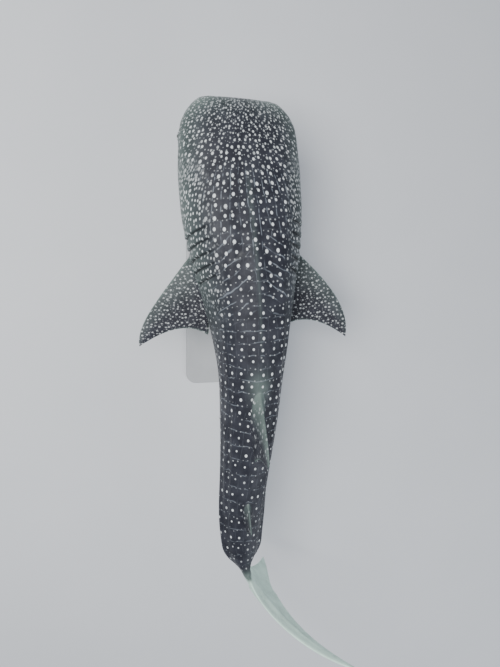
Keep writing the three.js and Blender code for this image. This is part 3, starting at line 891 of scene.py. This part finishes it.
def joined(first, second, t):
    """Two curves run one after the other, the first for NOTCH_SHARE of t."""
    a = bezier(first, np.clip(t / NOTCH_SHARE, 0, 1))
    b = bezier(second, np.clip((t - NOTCH_SHARE) / (1 - NOTCH_SHARE), 0, 1))
    return np.where((t < NOTCH_SHARE)[:, None], a, b)


def backbone(p):
    """Half thickness of the backbone's end inside the upper lobe: a bell across the line it
    climbs along, thinning towards its end."""
    run = np.clip((p[..., 0] - PEDUNCLE_END) / (CORE_END[0] - PEDUNCLE_END), 0, 1)
    reach = (p[..., 1] - CORE_END[1] * run**1.25) / (CORE_RADIUS * (1 - run) ** 1.4 + 0.1)
    return half_width(PEDUNCLE_END) * (1 - run) ** 1.6 * np.exp(-1.1 * reach**2)


def make_tail_fin(rows, columns):
    """The whole tail fin: its front outline against its hind outline, tip to tip."""
    t = (1 - np.cos(np.linspace(0.06, np.pi - 0.06, rows))) / 2
    front = joined(CAUDAL["upper_leading"][::-1], CAUDAL["lower_leading"], t)
    back = joined(CAUDAL["upper_trailing"], CAUDAL["lower_trailing"][::-1], t)
    thickness = CAUDAL["thickness"] * (0.4 + 0.6 * np.sin(np.pi * t) ** 0.7)
    grid, flat, chord = blade_grid(front, back, thickness, backbone, upright_place, columns)
    ring_chord = np.concatenate([chord, chord[-2:0:-1]])[None, :] + 0 * grid[..., 0]
    pitch = CAUDAL["pitch"]
    recipe = fin_recipe(
        ring_chord.shape, pitch, 0.8, 0.0, pale_of_tail(flat[:, :-1, 0]), 0.0, 0.12, 0.0)
    return ring_object("caudal", grid, flat / pitch + FIN_MAP_SHIFT, recipe)


fins.append(make_tail_fin(110, 40))
print("tail fin:", len(fins[-1].data.vertices), "points")

# %% [markdown]
# ## One skin
#
# Fins pushed into a body leave hidden walls and a hard line. A boolean union removes the
# hidden part, and then the points near each join are relaxed a few times towards the middle
# of their neighbours, which rounds the line into a fillet.

# %% Union and relaxed joins
def mark_part(obj, value):
    """Tags every point with the piece it came from, so that joins can be found later."""
    attribute = obj.data.attributes.new("part", "FLOAT", "POINT")
    attribute.data.foreach_set("value", np.full(len(obj.data.vertices), value, np.float32))


mark_part(body, 0)
for number, fin in enumerate(fins):
    mark_part(fin, number + 1)
    union = body.modifiers.new(fin.name, "BOOLEAN")
    union.operation = "UNION"
    union.solver = "MANIFOLD"
    union.object = fin

depsgraph = bpy.context.evaluated_depsgraph_get()
whole = bpy.data.meshes.new_from_object(body.evaluated_get(depsgraph), depsgraph=depsgraph)
body.modifiers.clear()
body.data = whole
for fin in fins:
    bpy.data.objects.remove(fin)


def read_points(mesh):
    """The places of all points, as rows of an array."""
    co = np.empty(len(mesh.vertices) * 3, np.float32)
    mesh.vertices.foreach_get("co", co)
    return co.reshape(-1, 3).astype(float)


def read_edges(mesh):
    """The two point numbers of every edge, as two arrays."""
    edges = np.empty(len(mesh.edges) * 2, np.int32)
    mesh.edges.foreach_get("vertices", edges)
    return edges.reshape(-1, 2).T


def relax_joins(mesh, reach, rounds):
    """Moves points within reach edges of a join halfway to the mean of their neighbours."""
    co = read_points(mesh)
    a, b = read_edges(mesh)
    part = np.empty(len(co), np.float32)
    mesh.attributes["part"].data.foreach_get("value", part)
    near = np.zeros(len(co), bool)
    mixed = np.abs(part[a] - part[b]) > 0.01
    near[a[mixed]] = True
    near[b[mixed]] = True
    for _ in range(reach):
        touched = near[a] | near[b]
        near[a[touched]] = True
        near[b[touched]] = True
    count = np.bincount(a, minlength=len(co)) + np.bincount(b, minlength=len(co))
    for _ in range(rounds):
        total = np.stack([
            np.bincount(a, co[b, axis], len(co)) + np.bincount(b, co[a, axis], len(co))
            for axis in range(3)], -1)
        mean = total / np.maximum(count, 1)[:, None]
        co[near] = (co[near] + mean[near]) / 2
    mesh.vertices.foreach_set("co", co.astype(np.float32).ravel())
    mesh.update()
    return int(near.sum())


def heal_recipe(mesh, keys):
    """Points made by the union may carry no recipe. Each gets the mean of its neighbours
    that have one, until none is left. Every true recipe has a spacing above zero."""
    a, b = read_edges(mesh)
    count = len(mesh.vertices)
    values = {}
    for key in keys:
        flat = np.empty(count * 3, np.float32)
        mesh.attributes[key].data.foreach_get("vector", flat)
        values[key] = flat.reshape(-1, 3).astype(float)
    bare = values["spacing"][:, 0] < 0.01
    healed = int(bare.sum())
    for _ in range(6):
        known = (~bare).astype(float)
        seen = np.bincount(a, known[b], count) + np.bincount(b, known[a], count)
        ready = bare & (seen > 0)
        for key in keys:
            for axis in range(3):
                v = values[key][:, axis] * known
                total = np.bincount(a, v[b], count) + np.bincount(b, v[a], count)
                values[key][ready, axis] = total[ready] / seen[ready]
        bare = bare & ~ready
    for key in keys:
        flat = values[key].astype(np.float32).ravel()
        mesh.attributes[key].data.foreach_set("vector", flat)
    return healed


healed = heal_recipe(whole, list(body_recipe))
print("points given their neighbours' recipe:", healed)
moved = relax_joins(whole, reach=3, rounds=12)
whole.attributes.remove(whole.attributes["part"])
whole.shade_smooth()
skin = body
triangles = sum(len(face.vertices) - 2 for face in whole.polygons)
print("skin:", triangles, "triangles,", moved, "points relaxed at the joins")

# %% [markdown]
# ## Shader helpers
#
# A material is a small network of nodes. These helpers add a node, set its plain values and
# link its inputs, so that each effect below reads as one line for one step.

# %% Node helpers
def fill(tree, node, inputs):
    """Links each given socket to its input, or sets the input to the plain value."""
    for key, value in inputs.items():
        if isinstance(value, bpy.types.NodeSocket):
            tree.links.new(value, node.inputs[key])
        else:
            node.inputs[key].default_value = value


def add_node(tree, kind, inputs=None, **settings):
    """Adds a node, sets its settings, and fills inputs with values or links."""
    node = tree.nodes.new(kind)
    for key, value in settings.items():
        setattr(node, key, value)
    fill(tree, node, inputs or {})
    return node


def math_node(tree, operation, *values):
    """A Math node's output."""
    return add_node(tree, "ShaderNodeMath", dict(enumerate(values)), operation=operation).outputs[0]


def vector_node(tree, operation, *values):
    """A Vector Math node's vector output."""
    given = dict(enumerate(values))
    return add_node(tree, "ShaderNodeVectorMath", given, operation=operation).outputs[0]


def split(tree, vector):
    """The parts of a vector."""
    return add_node(tree, "ShaderNodeSeparateXYZ", {0: vector}).outputs


def combine(tree, x, y):
    """A vector from its first two parts."""
    return add_node(tree, "ShaderNodeCombineXYZ", {0: x, 1: y}).outputs[0]


def ramp(tree, value, low, high, out_low=0.0, out_high=1.0):
    """A smooth step of a value from low to high, as out_low to out_high."""
    given = {"Value": value, "From Min": low, "From Max": high, "To Min": out_low, "To Max": out_high}
    return add_node(
        tree, "ShaderNodeMapRange", given, interpolation_type="SMOOTHSTEP").outputs["Result"]


def mix_colour(tree, factor, a, b):
    """A blend of two colours by a factor."""
    return add_node(tree, "ShaderNodeMix", {0: factor, 6: a, 7: b}, data_type="RGBA").outputs[2]


def group_node(tree, group, inputs):
    """A node that runs a group, with its inputs filled."""
    return add_node(tree, "ShaderNodeGroup", inputs, node_tree=group)


def noise(tree, vector, scale, detail=2.0, roughness=0.5):
    """Fractal noise between 0 and 1."""
    node = add_node(tree, "ShaderNodeTexNoise", {
        "Vector": vector, "Scale": scale, "Detail": detail, "Roughness": roughness})
    return node.outputs["Fac"]


def new_group(name, inputs, outputs):
    """An empty node group with named float inputs (and their defaults) and outputs."""
    group = bpy.data.node_groups.new(name, "ShaderNodeTree")
    for key, kind, default in inputs:
        socket = group.interface.new_socket(key, in_out="INPUT", socket_type=kind)
        if default is not None:
            socket.default_value = default
    for key, kind in outputs:
        group.interface.new_socket(key, in_out="OUTPUT", socket_type=kind)
    source = group.nodes.new("NodeGroupInput")
    sink = group.nodes.new("NodeGroupOutput")
    return group, source.outputs, sink.inputs


FLOAT = "NodeSocketFloat"
VECTOR = "NodeSocketVector"

# %% [markdown]
# ## Spots
#
# A Voronoi texture puts one point in each cell of a grid and moves it about at random. Its
# Position output tells where that point is, so the distance to it can be measured in real
# hundredths of the length, and the spots come out round though the cells are not square,
# unless Stretch draws them long.
# Little randomness leaves rows and columns, full randomness the scatter of the snout.

# %% Node group: round spots
def build_spots_group():
    """Distance to the cell's own point, in hundredths, against an uneven radius."""
    tree, given, result = new_group(
        "Round spots",
        [("Map", VECTOR, None), ("Spacing", VECTOR, None), ("Scatter", FLOAT, 0.5),
         ("Radius", FLOAT, 0.3), ("Softness", FLOAT, 0.12), ("Uneven", FLOAT, 0.35),
         ("Stretch", VECTOR, (1.0, 1.0, 1.0))],
        [("Spots", FLOAT)])
    cells = add_node(tree, "ShaderNodeTexVoronoi", {
        "Vector": given["Map"], "Scale": 1.0, "Randomness": given["Scatter"],
    }, voronoi_dimensions="2D", feature="F1")
    off = vector_node(tree, "SUBTRACT", given["Map"], cells.outputs["Position"])
    real = vector_node(tree, "MULTIPLY", off, given["Spacing"])
    drawn = vector_node(tree, "MULTIPLY", real, given["Stretch"])
    length = add_node(tree, "ShaderNodeVectorMath", {0: drawn}, operation="LENGTH")
    random = add_node(tree, "ShaderNodeSeparateColor", {0: cells.outputs["Color"]})
    change = math_node(tree, "MULTIPLY_ADD", random.outputs[0], given["Uneven"], 1.0)
    change = math_node(tree, "SUBTRACT", change, math_node(tree, "MULTIPLY", given["Uneven"], 0.5))
    radius = math_node(tree, "MULTIPLY", given["Radius"], change)
    outer = math_node(tree, "ADD", radius, given["Softness"])
    inner = math_node(tree, "SUBTRACT", radius, given["Softness"])
    disc = ramp(tree, length.outputs["Value"], outer, inner)
    strength = ramp(tree, random.outputs[1], 0.0, 0.5, 0.55, 1.0)
    tree.links.new(math_node(tree, "MULTIPLY", disc, strength), result["Spots"])
    return tree


spots_group = build_spots_group()
print("node group:", spots_group.name)

# %% [markdown]
# ## Thin lines across the body
#
# Between the rows of spots runs a thin pale line, wavy and often broken. It is where the
# row number is a half, shifted by noise, and a second noise rubs parts of it out.

# %% Node group: cross lines
LINE_SHIFT = 0.87


def build_lines_group():
    """Pale where the wavy row number is a half, and rubbed out by a second noise."""
    tree, given, result = new_group(
        "Cross lines",
        [("Map", VECTOR, None), ("Spacing", FLOAT, 2.0), ("Width", FLOAT, 0.1),
         ("Wave", FLOAT, 0.5), ("Breaks", FLOAT, 1.1)],
        [("Lines", FLOAT)])
    wobble = math_node(tree, "SUBTRACT", noise(tree, given["Map"], 0.55, 2.0), 0.5)
    wobble = math_node(tree, "MULTIPLY", wobble, given["Wave"])
    along_map = split(tree, given["Map"])[0]
    row = math_node(tree, "ADD", math_node(tree, "ADD", along_map, wobble), LINE_SHIFT)
    fraction = math_node(tree, "FRACT", row)
    off = math_node(tree, "ABSOLUTE", math_node(tree, "SUBTRACT", fraction, 0.5))
    away = math_node(tree, "MULTIPLY", off, given["Spacing"])
    half = math_node(tree, "MULTIPLY", given["Width"], 0.3)
    line = ramp(tree, away, given["Width"], half)
    broken = ramp(tree, noise(tree, given["Map"], given["Breaks"], 3.0), 0.42, 0.58)
    tree.links.new(math_node(tree, "MULTIPLY", line, broken), result["Lines"])
    return tree


lines_group = build_lines_group()
print("node group:", lines_group.name)

# %% [markdown]
# ## Fine relief of the skin
#
# A shark's skin is covered with minute scales. Up close it has a fine grain, and over it
# run shallow uneven patches. One group makes that height for every skin.

# %% Node group: skin grain
def build_grain_group():
    """Height: the scales' cells plus three times the patches. Tone: the patches."""
    tree, given, result = new_group(
        "Skin grain", [("Place", VECTOR, None), ("Grain", FLOAT, 260.0), ("Patches", FLOAT, 9.0)],
        [("Height", FLOAT), ("Tone", FLOAT)])
    grain = add_node(tree, "ShaderNodeTexVoronoi", {"Vector": given["Place"], "Scale": given["Grain"]})
    patches = add_node(tree, "ShaderNodeTexNoise", {
        "Vector": given["Place"], "Scale": given["Patches"], "Detail": 5.0, "Roughness": 0.6})
    height = math_node(tree, "MULTIPLY_ADD", patches.outputs["Fac"], 3.0, grain.outputs["Distance"])
    tree.links.new(height, result["Height"])
    tree.links.new(patches.outputs["Fac"], result["Tone"])
    return tree


grain_group = build_grain_group()
print("node group:", grain_group.name)

# %% [markdown]
# ## The skin's material
#
# Colours go on as a painter would lay them: a dark slate ground, greener and paler on the snout, cheeks
# and tail fin, with painted highlights on the fins' edges and at the root of the first dorsal fin, then
# the lines and the spots, and over them the nearly white underside and painted shade in the creases and
# openings. The paint is satin, a little glossier in patches.

# %% Skin material
SLATE = (0.017, 0.018, 0.026, 1)
SLATE_LIGHT = (0.036, 0.038, 0.049, 1)
GREENISH = (0.20, 0.265, 0.235, 1)
TAIL_GREEN = (0.76, 1.0, 0.86, 1)
# Painted shade for the creases and openings.
CREASE_SHADE = (0.008, 0.009, 0.012, 1)
BELLY_WHITE = (0.62, 0.63, 0.60, 1)
SPOT_WHITE = (0.78, 0.82, 0.82, 1)
LINE_PALE = (0.30, 0.34, 0.38, 1)
ARC_SLOPE = -0.55


def attribute_parts(tree, name):
    """The three numbers of a point attribute, and the whole vector."""
    read = add_node(tree, "ShaderNodeAttribute", attribute_name=name)
    parts = split(tree, read.outputs["Vector"])
    return parts[0], parts[1], parts[2], read.outputs["Vector"]


def bumped(tree, height, strength, distance):
    """A normal tilted by the slope of a height."""
    given = {"Strength": strength, "Distance": distance, "Height": height}
    return add_node(tree, "ShaderNodeBump", given).outputs[0]


def new_material(name):
    """An empty material with its output and surface shader."""
    material = bpy.data.materials.new(name)
    material.use_nodes = True
    tree = material.node_tree
    tree.nodes.clear()
    output = tree.nodes.new("ShaderNodeOutputMaterial")
    surface = tree.nodes.new("ShaderNodeBsdfPrincipled")
    tree.links.new(surface.outputs[0], output.inputs[0])
    return material, tree, surface


def build_skin_material():
    """Ground, lines, spots, underside and painted shade in the creases, laid over each other in turn."""
    material, tree, surface = new_material("shark_skin")
    skin_map = add_node(tree, "ShaderNodeUVMap", uv_map="SkinMap").outputs[0]
    place_3d = add_node(tree, "ShaderNodeTexCoord").outputs["Object"]
    along, across, scatter_amount, spacing = attribute_parts(tree, "spacing")
    belly, pale, dark, _ = attribute_parts(tree, "tone")
    radius, line_amount, spot_amount, _ = attribute_parts(tree, "marks")

    grain = group_node(tree, grain_group, {"Place": place_3d, "Grain": 240.0, "Patches": 7.0})
    tone = grain.outputs["Tone"]
    ground = mix_colour(tree, ramp(tree, tone, 0.35, 0.7), SLATE, SLATE_LIGHT)
    pale_uneven = math_node(tree, "MULTIPLY", pale, ramp(tree, tone, 0.25, 0.7, 0.8, 1.0))
    greenish = mix_colour(tree, ramp(tree, pale, 0.75, 1.0), GREENISH, TAIL_GREEN)
    ground = mix_colour(tree, pale_uneven, ground, greenish)

    flank, lengthwise, shoulder, _ = attribute_parts(tree, "zones")
    lines = group_node(tree, lines_group, {
        "Map": skin_map, "Spacing": along, "Width": 0.11, "Wave": 0.7})
    line_mask = math_node(tree, "MULTIPLY", lines.outputs[0], line_amount)
    row, column, _ = split(tree, skin_map)
    dashes = group_node(tree, lines_group, {
        "Map": combine(tree, column, row), "Spacing": across, "Width": 0.1, "Wave": 0.5, "Breaks": 1.7})
    dash_amount = math_node(tree, "MAXIMUM", lengthwise, math_node(tree, "MULTIPLY", line_amount, 0.2))
    dash_mask = math_node(tree, "MULTIPLY", dashes.outputs[0], dash_amount)
    down_side = math_node(tree, "ABSOLUTE", column)
    slanted_row = math_node(tree, "MULTIPLY_ADD", down_side, ARC_SLOPE, row)
    arcs = group_node(tree, lines_group, {
        "Map": combine(tree, slanted_row, column), "Spacing": along, "Width": 0.16, "Wave": 1.3})
    arc_mask = math_node(tree, "MULTIPLY", arcs.outputs[0], shoulder)
    level_part = math_node(tree, "SUBTRACT", 1.0, shoulder)
    line_mask = math_node(tree, "MULTIPLY", line_mask, level_part)
    dash_mask = math_node(tree, "MULTIPLY", dash_mask, level_part)
    line_mask = math_node(tree, "MAXIMUM", line_mask, dash_mask)
    line_mask = math_node(tree, "MAXIMUM", line_mask, arc_mask)
    line_mask = math_node(tree, "MULTIPLY", line_mask, math_node(tree, "SUBTRACT", 1.0, flank))
    ground = mix_colour(tree, math_node(tree, "MULTIPLY", line_mask, 0.5), ground, LINE_PALE)

    main = group_node(tree, spots_group, {
        "Map": skin_map, "Spacing": spacing, "Scatter": scatter_amount, "Radius": radius,
        "Softness": 0.06, "Uneven": 0.5, "Stretch": (0.78, 1.0, 1.0)})
    shifted = vector_node(tree, "MULTIPLY_ADD", skin_map, (1.0, 2.0, 1.0), (0.5, 7.3, 0.0))
    half_spacing = vector_node(tree, "MULTIPLY", spacing, (1.0, 0.5, 1.0))
    small_radius = math_node(tree, "MULTIPLY", radius, 0.5)
    small = group_node(tree, spots_group, {
        "Map": shifted, "Spacing": half_spacing, "Scatter": scatter_amount,
        "Radius": small_radius, "Softness": 0.06, "Uneven": 0.9})
    faint = math_node(tree, "MULTIPLY", small.outputs[0], 0.45)
    back_spots = math_node(tree, "MAXIMUM", main.outputs[0], faint)

    dense = vector_node(tree, "MULTIPLY", skin_map, (1.9, 2.6, 1.0))
    dense_spacing = vector_node(tree, "MULTIPLY", spacing, (0.32, 0.385, 1.0))
    flank_dots = group_node(tree, spots_group, {
        "Map": dense, "Spacing": dense_spacing, "Scatter": 0.7,
        "Radius": 0.105, "Softness": 0.06, "Uneven": 0.6})
    spots = math_node(tree, "MAXIMUM",
                      math_node(tree, "MULTIPLY", back_spots, math_node(tree, "SUBTRACT", 1.0, flank)),
                      math_node(tree, "MULTIPLY", flank_dots.outputs[0], flank))
    spots = math_node(tree, "MULTIPLY", spots, spot_amount)
    coloured = mix_colour(tree, spots, ground, SPOT_WHITE)

    edge_noise = math_node(tree, "SUBTRACT", noise(tree, place_3d, 5.0, 4.0), 0.5)
    belly_mask = ramp(tree, math_node(tree, "ADD", belly, edge_noise), 0.2, 0.75)
    coloured = mix_colour(tree, belly_mask, coloured, BELLY_WHITE)
    # Painted shade darkens the gill slits, the mouth groove, the eye rims and the small openings.
    coloured = mix_colour(tree, dark, coloured, CREASE_SHADE)

    fill(tree, surface, {
        "Base Color": coloured, "Roughness": ramp(tree, tone, 0.3, 0.7, 0.56, 0.42),
        "Specular IOR Level": 0.25,
        "Normal": bumped(tree, grain.outputs["Height"], 0.35, 0.003)})
    return material


skin.data.materials.clear()
skin.data.materials.append(build_skin_material())
FLESH = [name for name in nodes if not name.startswith(("eye", "stand"))]
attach(skin, "root")
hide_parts(*FLESH)
print("skin replaces", len(FLESH), "solids")

# %% [markdown]
# ## Eyes
#
# A whale shark's eye is small, round and dark, low on the side of the head just behind the
# mouth. Each is a ball turned to face outwards: a clear bulge in front over a flat iris
# would not show at this size, so pupil and iris are rings of colour round its axis.

# %% Eye surfaces and material
def eye_grid(centre, axis, radius):
    """A ball as rings round its own axis, from the pupil to the back: the latitude turns
    from 0 to 180 degrees. The front is drawn out a little, as the cornea is."""
    axis = Vector(axis).normalized()
    across = axis.cross(Vector((0, 0, 1))).normalized()
    up = across.cross(axis)
    latitude = np.radians(np.linspace(1.5, 178.5, 40))[:, None]
    turn = np.linspace(0, 2 * np.pi, 48, endpoint=False)[None, :]
    bulge = radius * (1 + 0.05 * np.exp(-((latitude / 0.5) ** 2)))
    forward_part = bulge * np.cos(latitude) + 0 * turn
    ring = bulge * np.sin(latitude)
    parts = (forward_part[..., None] * np.array(axis)
             + (ring * np.cos(turn))[..., None] * np.array(across)
             + (ring * np.sin(turn))[..., None] * np.array(up))
    return np.array(centre) + parts, np.degrees(latitude) + 0 * turn


def build_eye_material():
    """Pupil, streaked iris and dark surround, by the angle from the eye's axis."""
    material, tree, surface = new_material("eye_wet_dark")
    from_axis, spoke, _, _ = attribute_parts(tree, "eye_ring")
    pupil = ramp(tree, from_axis, 22.0, 25.0)
    streak_at = combine(
        tree, math_node(tree, "MULTIPLY", spoke, 9.0), math_node(tree, "MULTIPLY", from_axis, 0.05))
    streaks = noise(tree, streak_at, 3.0, 3.0)
    iris = mix_colour(tree, streaks, (0.018, 0.016, 0.015, 1), (0.075, 0.070, 0.062, 1))
    colour = mix_colour(tree, pupil, (0.003, 0.003, 0.004, 1), iris)
    white = ramp(tree, from_axis, 44.0, 52.0)
    colour = mix_colour(tree, white, colour, (0.035, 0.037, 0.042, 1))
    fill(tree, surface, {
        "Base Color": colour, "Roughness": 0.08, "Coat Weight": 1.0, "Coat Roughness": 0.03})
    return material


eye_material = build_eye_material()
for side_name, (eye_surface, eye_normal) in eye_places.items():
    low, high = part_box("eye_" + side_name)
    centre = (low + high) / 2
    points, latitude = eye_grid(centre, eye_normal, EYE_RADIUS)
    turn = np.linspace(0, 1, points.shape[1], endpoint=False)[None, :] + 0 * latitude
    flat_uv = np.zeros((points.shape[0], points.shape[1] + 1, 2))
    eye = ring_object(
        "eyeball_" + side_name, points, flat_uv,
        {"eye_ring": vectors(latitude, np.abs(turn - 0.5) * 2, 0.0, latitude.shape)})
    eye.data.shade_smooth()
    eye.data.materials.append(eye_material)
    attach(eye, "root")
    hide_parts("eye_" + side_name)
    print("eye", side_name, "at", [round(v, 3) for v in centre])

# %% [markdown]
# ## The display stand
#
# A museum stand should be plain and strong: a painted steel plate with softened edges, and two brushed
# steel rods, each with a turned foot on the plate. Plate and rods are profiles worked out as rings, so
# all their edges are rounded.

# %% Stand surfaces
BASE_LOW, BASE_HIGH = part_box("stand_base")
BASE_CORNER = 0.12
BASE_EDGE = 0.014


def plate_grid(low, high, corner, edge):
    """A plate as nested rings from the middle of its top, over the rounded edge, to the
    middle of its underside. Each ring is a rounded rectangle whose inset follows the edge."""
    turn = np.linspace(0, 2 * np.pi, 96, endpoint=False)
    half_x = (high.x - low.x) / 2
    half_y = (high.y - low.y) / 2
    thick = high.z - low.z
    arc = np.linspace(0, np.pi / 2, 7)
    top_inset = edge * (1 - np.sin(arc))
    top_drop = edge * (1 - np.cos(arc))
    inset = np.concatenate([[half_y - 0.002, 0.2, 0.05], top_inset, top_inset[::-1],
                            [0.05, 0.2, half_y - 0.002]])
    level = np.concatenate([[thick] * 3, thick - top_drop, top_drop[::-1], [0] * 3])
    radius = np.maximum(corner - inset, 0.001)[:, None]
    c = np.cos(turn)[None, :]
    s = np.sin(turn)[None, :]
    x = np.sign(c) * (half_x - inset[:, None] - radius) + radius * c
    y = np.sign(s) * (half_y - inset[:, None] - radius) + radius * s
    centre = (low + high) / 2
    z = low.z + level[:, None] + 0 * x
    return np.stack([centre.x + x, centre.y + y, z], -1)


def turned_grid(centre_x, centre_y, profile):
    """A turned piece: a profile of (radius, height) rows spun round an upright axis."""
    rows = np.array(profile, float)
    turn = np.linspace(0, 2 * np.pi, 64, endpoint=False)[None, :]
    x = centre_x + rows[:, :1] * np.cos(turn)
    y = centre_y + rows[:, :1] * np.sin(turn)
    return np.stack([x, y, rows[:, 1:] + 0 * turn], -1)


def rod_profile(floor, top, radius):
    """Foot flange with a rounded lip, a fillet into the rod, and the plain rod."""
    arc = np.linspace(0, np.pi / 2, 6)
    flange = radius * 2.3
    lip = 0.006
    thick = 0.016
    rows = [[0.001, floor], [flange - 0.001, floor]]
    rows += [[flange - lip + lip * math.cos(a), floor + thick - lip + lip * math.sin(a)] for a in arc]
    fillet = 0.012
    rows += [[radius + fillet * (1 - math.sin(a)), floor + thick + fillet * (1 - math.cos(a))]
             for a in arc]
    rows += [[radius, top - 0.3], [radius, top - 0.1], [radius, top], [0.001, top]]
    return rows


def plain_ring_object(name, grid):
    """A ring grid with a simple map round and along it."""
    rows, cols, _ = grid.shape
    u, v = np.meshgrid(np.linspace(0, 1, cols + 1), np.linspace(0, 1, rows))
    return ring_object(name, grid, np.stack([u, v], -1), {})


def build_paint_material():
    """Satin grey paint with cloudy tone and a faint orange peel."""
    material, tree, surface = new_material("stand_satin_paint")
    place_3d = add_node(tree, "ShaderNodeTexCoord").outputs["Object"]
    cloud = noise(tree, place_3d, 4.0, 4.0)
    peel = noise(tree, place_3d, 180.0, 2.0)
    colour = mix_colour(tree, cloud, (0.40, 0.41, 0.42, 1), (0.47, 0.48, 0.49, 1))
    fill(tree, surface, {
        "Base Color": colour, "Roughness": ramp(tree, cloud, 0.3, 0.7, 0.38, 0.5),
        "Normal": bumped(tree, peel, 0.12, 0.001)})
    return material


def build_steel_material():
    """Steel brushed round the rod: noise drawn out flat across its length."""
    material, tree, surface = new_material("stand_brushed_steel")
    place_3d = add_node(tree, "ShaderNodeTexCoord").outputs["Object"]
    stretch = add_node(tree, "ShaderNodeMapping", {0: place_3d, "Scale": (6.0, 6.0, 400.0)})
    brushed = noise(tree, stretch.outputs[0], 2.0, 3.0, 0.7)
    colour = mix_colour(tree, brushed, (0.50, 0.51, 0.52, 1), (0.68, 0.69, 0.70, 1))
    fill(tree, surface, {
        "Base Color": colour, "Roughness": ramp(tree, brushed, 0.2, 0.8, 0.24, 0.4),
        "Metallic": 1.0})
    return material


paint = build_paint_material()
steel = build_steel_material()
plate = plain_ring_object("stand_plate", plate_grid(BASE_LOW, BASE_HIGH, BASE_CORNER, BASE_EDGE))
stand_pieces = [(plate, "stand_base", paint, "stand_paint")]
for end in ("front", "rear"):
    low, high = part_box("stand_rod_" + end)
    middle = (low + high) / 2
    radius = (high.x - low.x) / 2
    rod_grid = turned_grid(middle.x, middle.y, rod_profile(BASE_HIGH.z, high.z, radius))
    rod = plain_ring_object("stand_post_" + end, rod_grid)
    stand_pieces.append((rod, "stand_rod_" + end, steel, "stand_steel"))
for piece, node_name, finish, slot_name in stand_pieces:
    piece.data.shade_smooth()
    piece.data.materials.append(finish)
    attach(piece, "root")
    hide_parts(node_name)
print("stand pieces:", [piece.name for piece, *_ in stand_pieces])

# %% [markdown]
# ## Camera, floor and light
#
# The photo looks down from above the animal's left shoulder. The camera is placed by its
# distance from the axis of the body and by where it looks, again in hundredths of length.
# These numbers are results of a least-squares fit to the photo's outline. A pale floor and a
# large soft light from above, with a weaker one opposite, keep the shadows mild.

# %% Camera
CAMERA_BACK = 18.54
CAMERA_LEFT = 17.88
CAMERA_UP = 82.72
LOOK = Vector((-0.2038, -0.2358, -0.9502))
RIGHT = Vector((0.0255, -0.9715, 0.2356))
FOCAL_PIXELS = 531.9
IMAGE_WIDTH = 500
SENSOR = 36.0

camera_data = bpy.data.cameras.new("camera")
camera_data.sensor_fit = "HORIZONTAL"
camera_data.sensor_width = SENSOR
camera_data.lens = FOCAL_PIXELS / IMAGE_WIDTH * SENSOR
camera_data.clip_end = 100
camera = bpy.data.objects.new("camera", camera_data)
bpy.context.scene.collection.objects.link(camera)
look = LOOK.normalized()
right = (RIGHT - RIGHT.dot(look) * look).normalized()
up = right.cross(look)
turning = Matrix((right, up, -look)).transposed()
spot = Vector((
    (-CAMERA_BACK - balance_x) * PCT, (CAMERA_LEFT - balance_y) * PCT, AXIS_HEIGHT + CAMERA_UP * PCT))
camera.matrix_world = Matrix.Translation(spot) @ turning.to_4x4()
bpy.context.scene.camera = camera
print("camera at", [round(v, 2) for v in spot], "lens", round(camera_data.lens, 1), "mm")

# %% Floor and lights
def build_floor_material():
    """A matt pale floor, clouded a little."""
    material, tree, surface = new_material("floor_pale")
    place_3d = add_node(tree, "ShaderNodeTexCoord").outputs["Object"]
    cloud = noise(tree, place_3d, 0.8, 4.0)
    colour = mix_colour(tree, cloud, (0.66, 0.68, 0.70, 1), (0.72, 0.73, 0.75, 1))
    fill(tree, surface, {"Base Color": colour, "Roughness": 0.8})
    return material


FLOOR_HALF = 40.0
floor_mesh = bpy.data.meshes.new("floor")
floor_mesh.from_pydata(
    [(-FLOOR_HALF, -FLOOR_HALF, 0), (FLOOR_HALF, -FLOOR_HALF, 0),
     (FLOOR_HALF, FLOOR_HALF, 0), (-FLOOR_HALF, FLOOR_HALF, 0)], [], [(0, 1, 2, 3)])
floor = bpy.data.objects.new("floor", floor_mesh)
bpy.context.scene.collection.objects.link(floor)
floor.data.materials.append(build_floor_material())


def add_area_light(name, place_at, aim_at, size, power, colour):
    """A square soft light at a place, turned towards a target."""
    data = bpy.data.lights.new(name, "AREA")
    data.size = size
    data.energy = power
    data.color = colour
    light = bpy.data.objects.new(name, data)
    bpy.context.scene.collection.objects.link(light)
    direction = Vector(aim_at) - Vector(place_at)
    light.location = place_at
    light.rotation_euler = direction.to_track_quat("-Z", "Y").to_euler()
    return light


add_area_light("key", (1.5, 4.5, 10.0), (-0.6, 0, 1.2), 5.0, 1250, (1.0, 0.99, 0.97))
add_area_light("fill", (-7.0, -6.0, 7.0), (-0.6, 0, 1.2), 6.0, 350, (0.94, 0.97, 1.0))
world = bpy.data.worlds.new("studio")
world.use_nodes = True
world.node_tree.nodes["Background"].inputs["Color"].default_value = (0.80, 0.87, 1.0, 1)
world.node_tree.nodes["Background"].inputs["Strength"].default_value = 0.45
bpy.context.scene.world = world
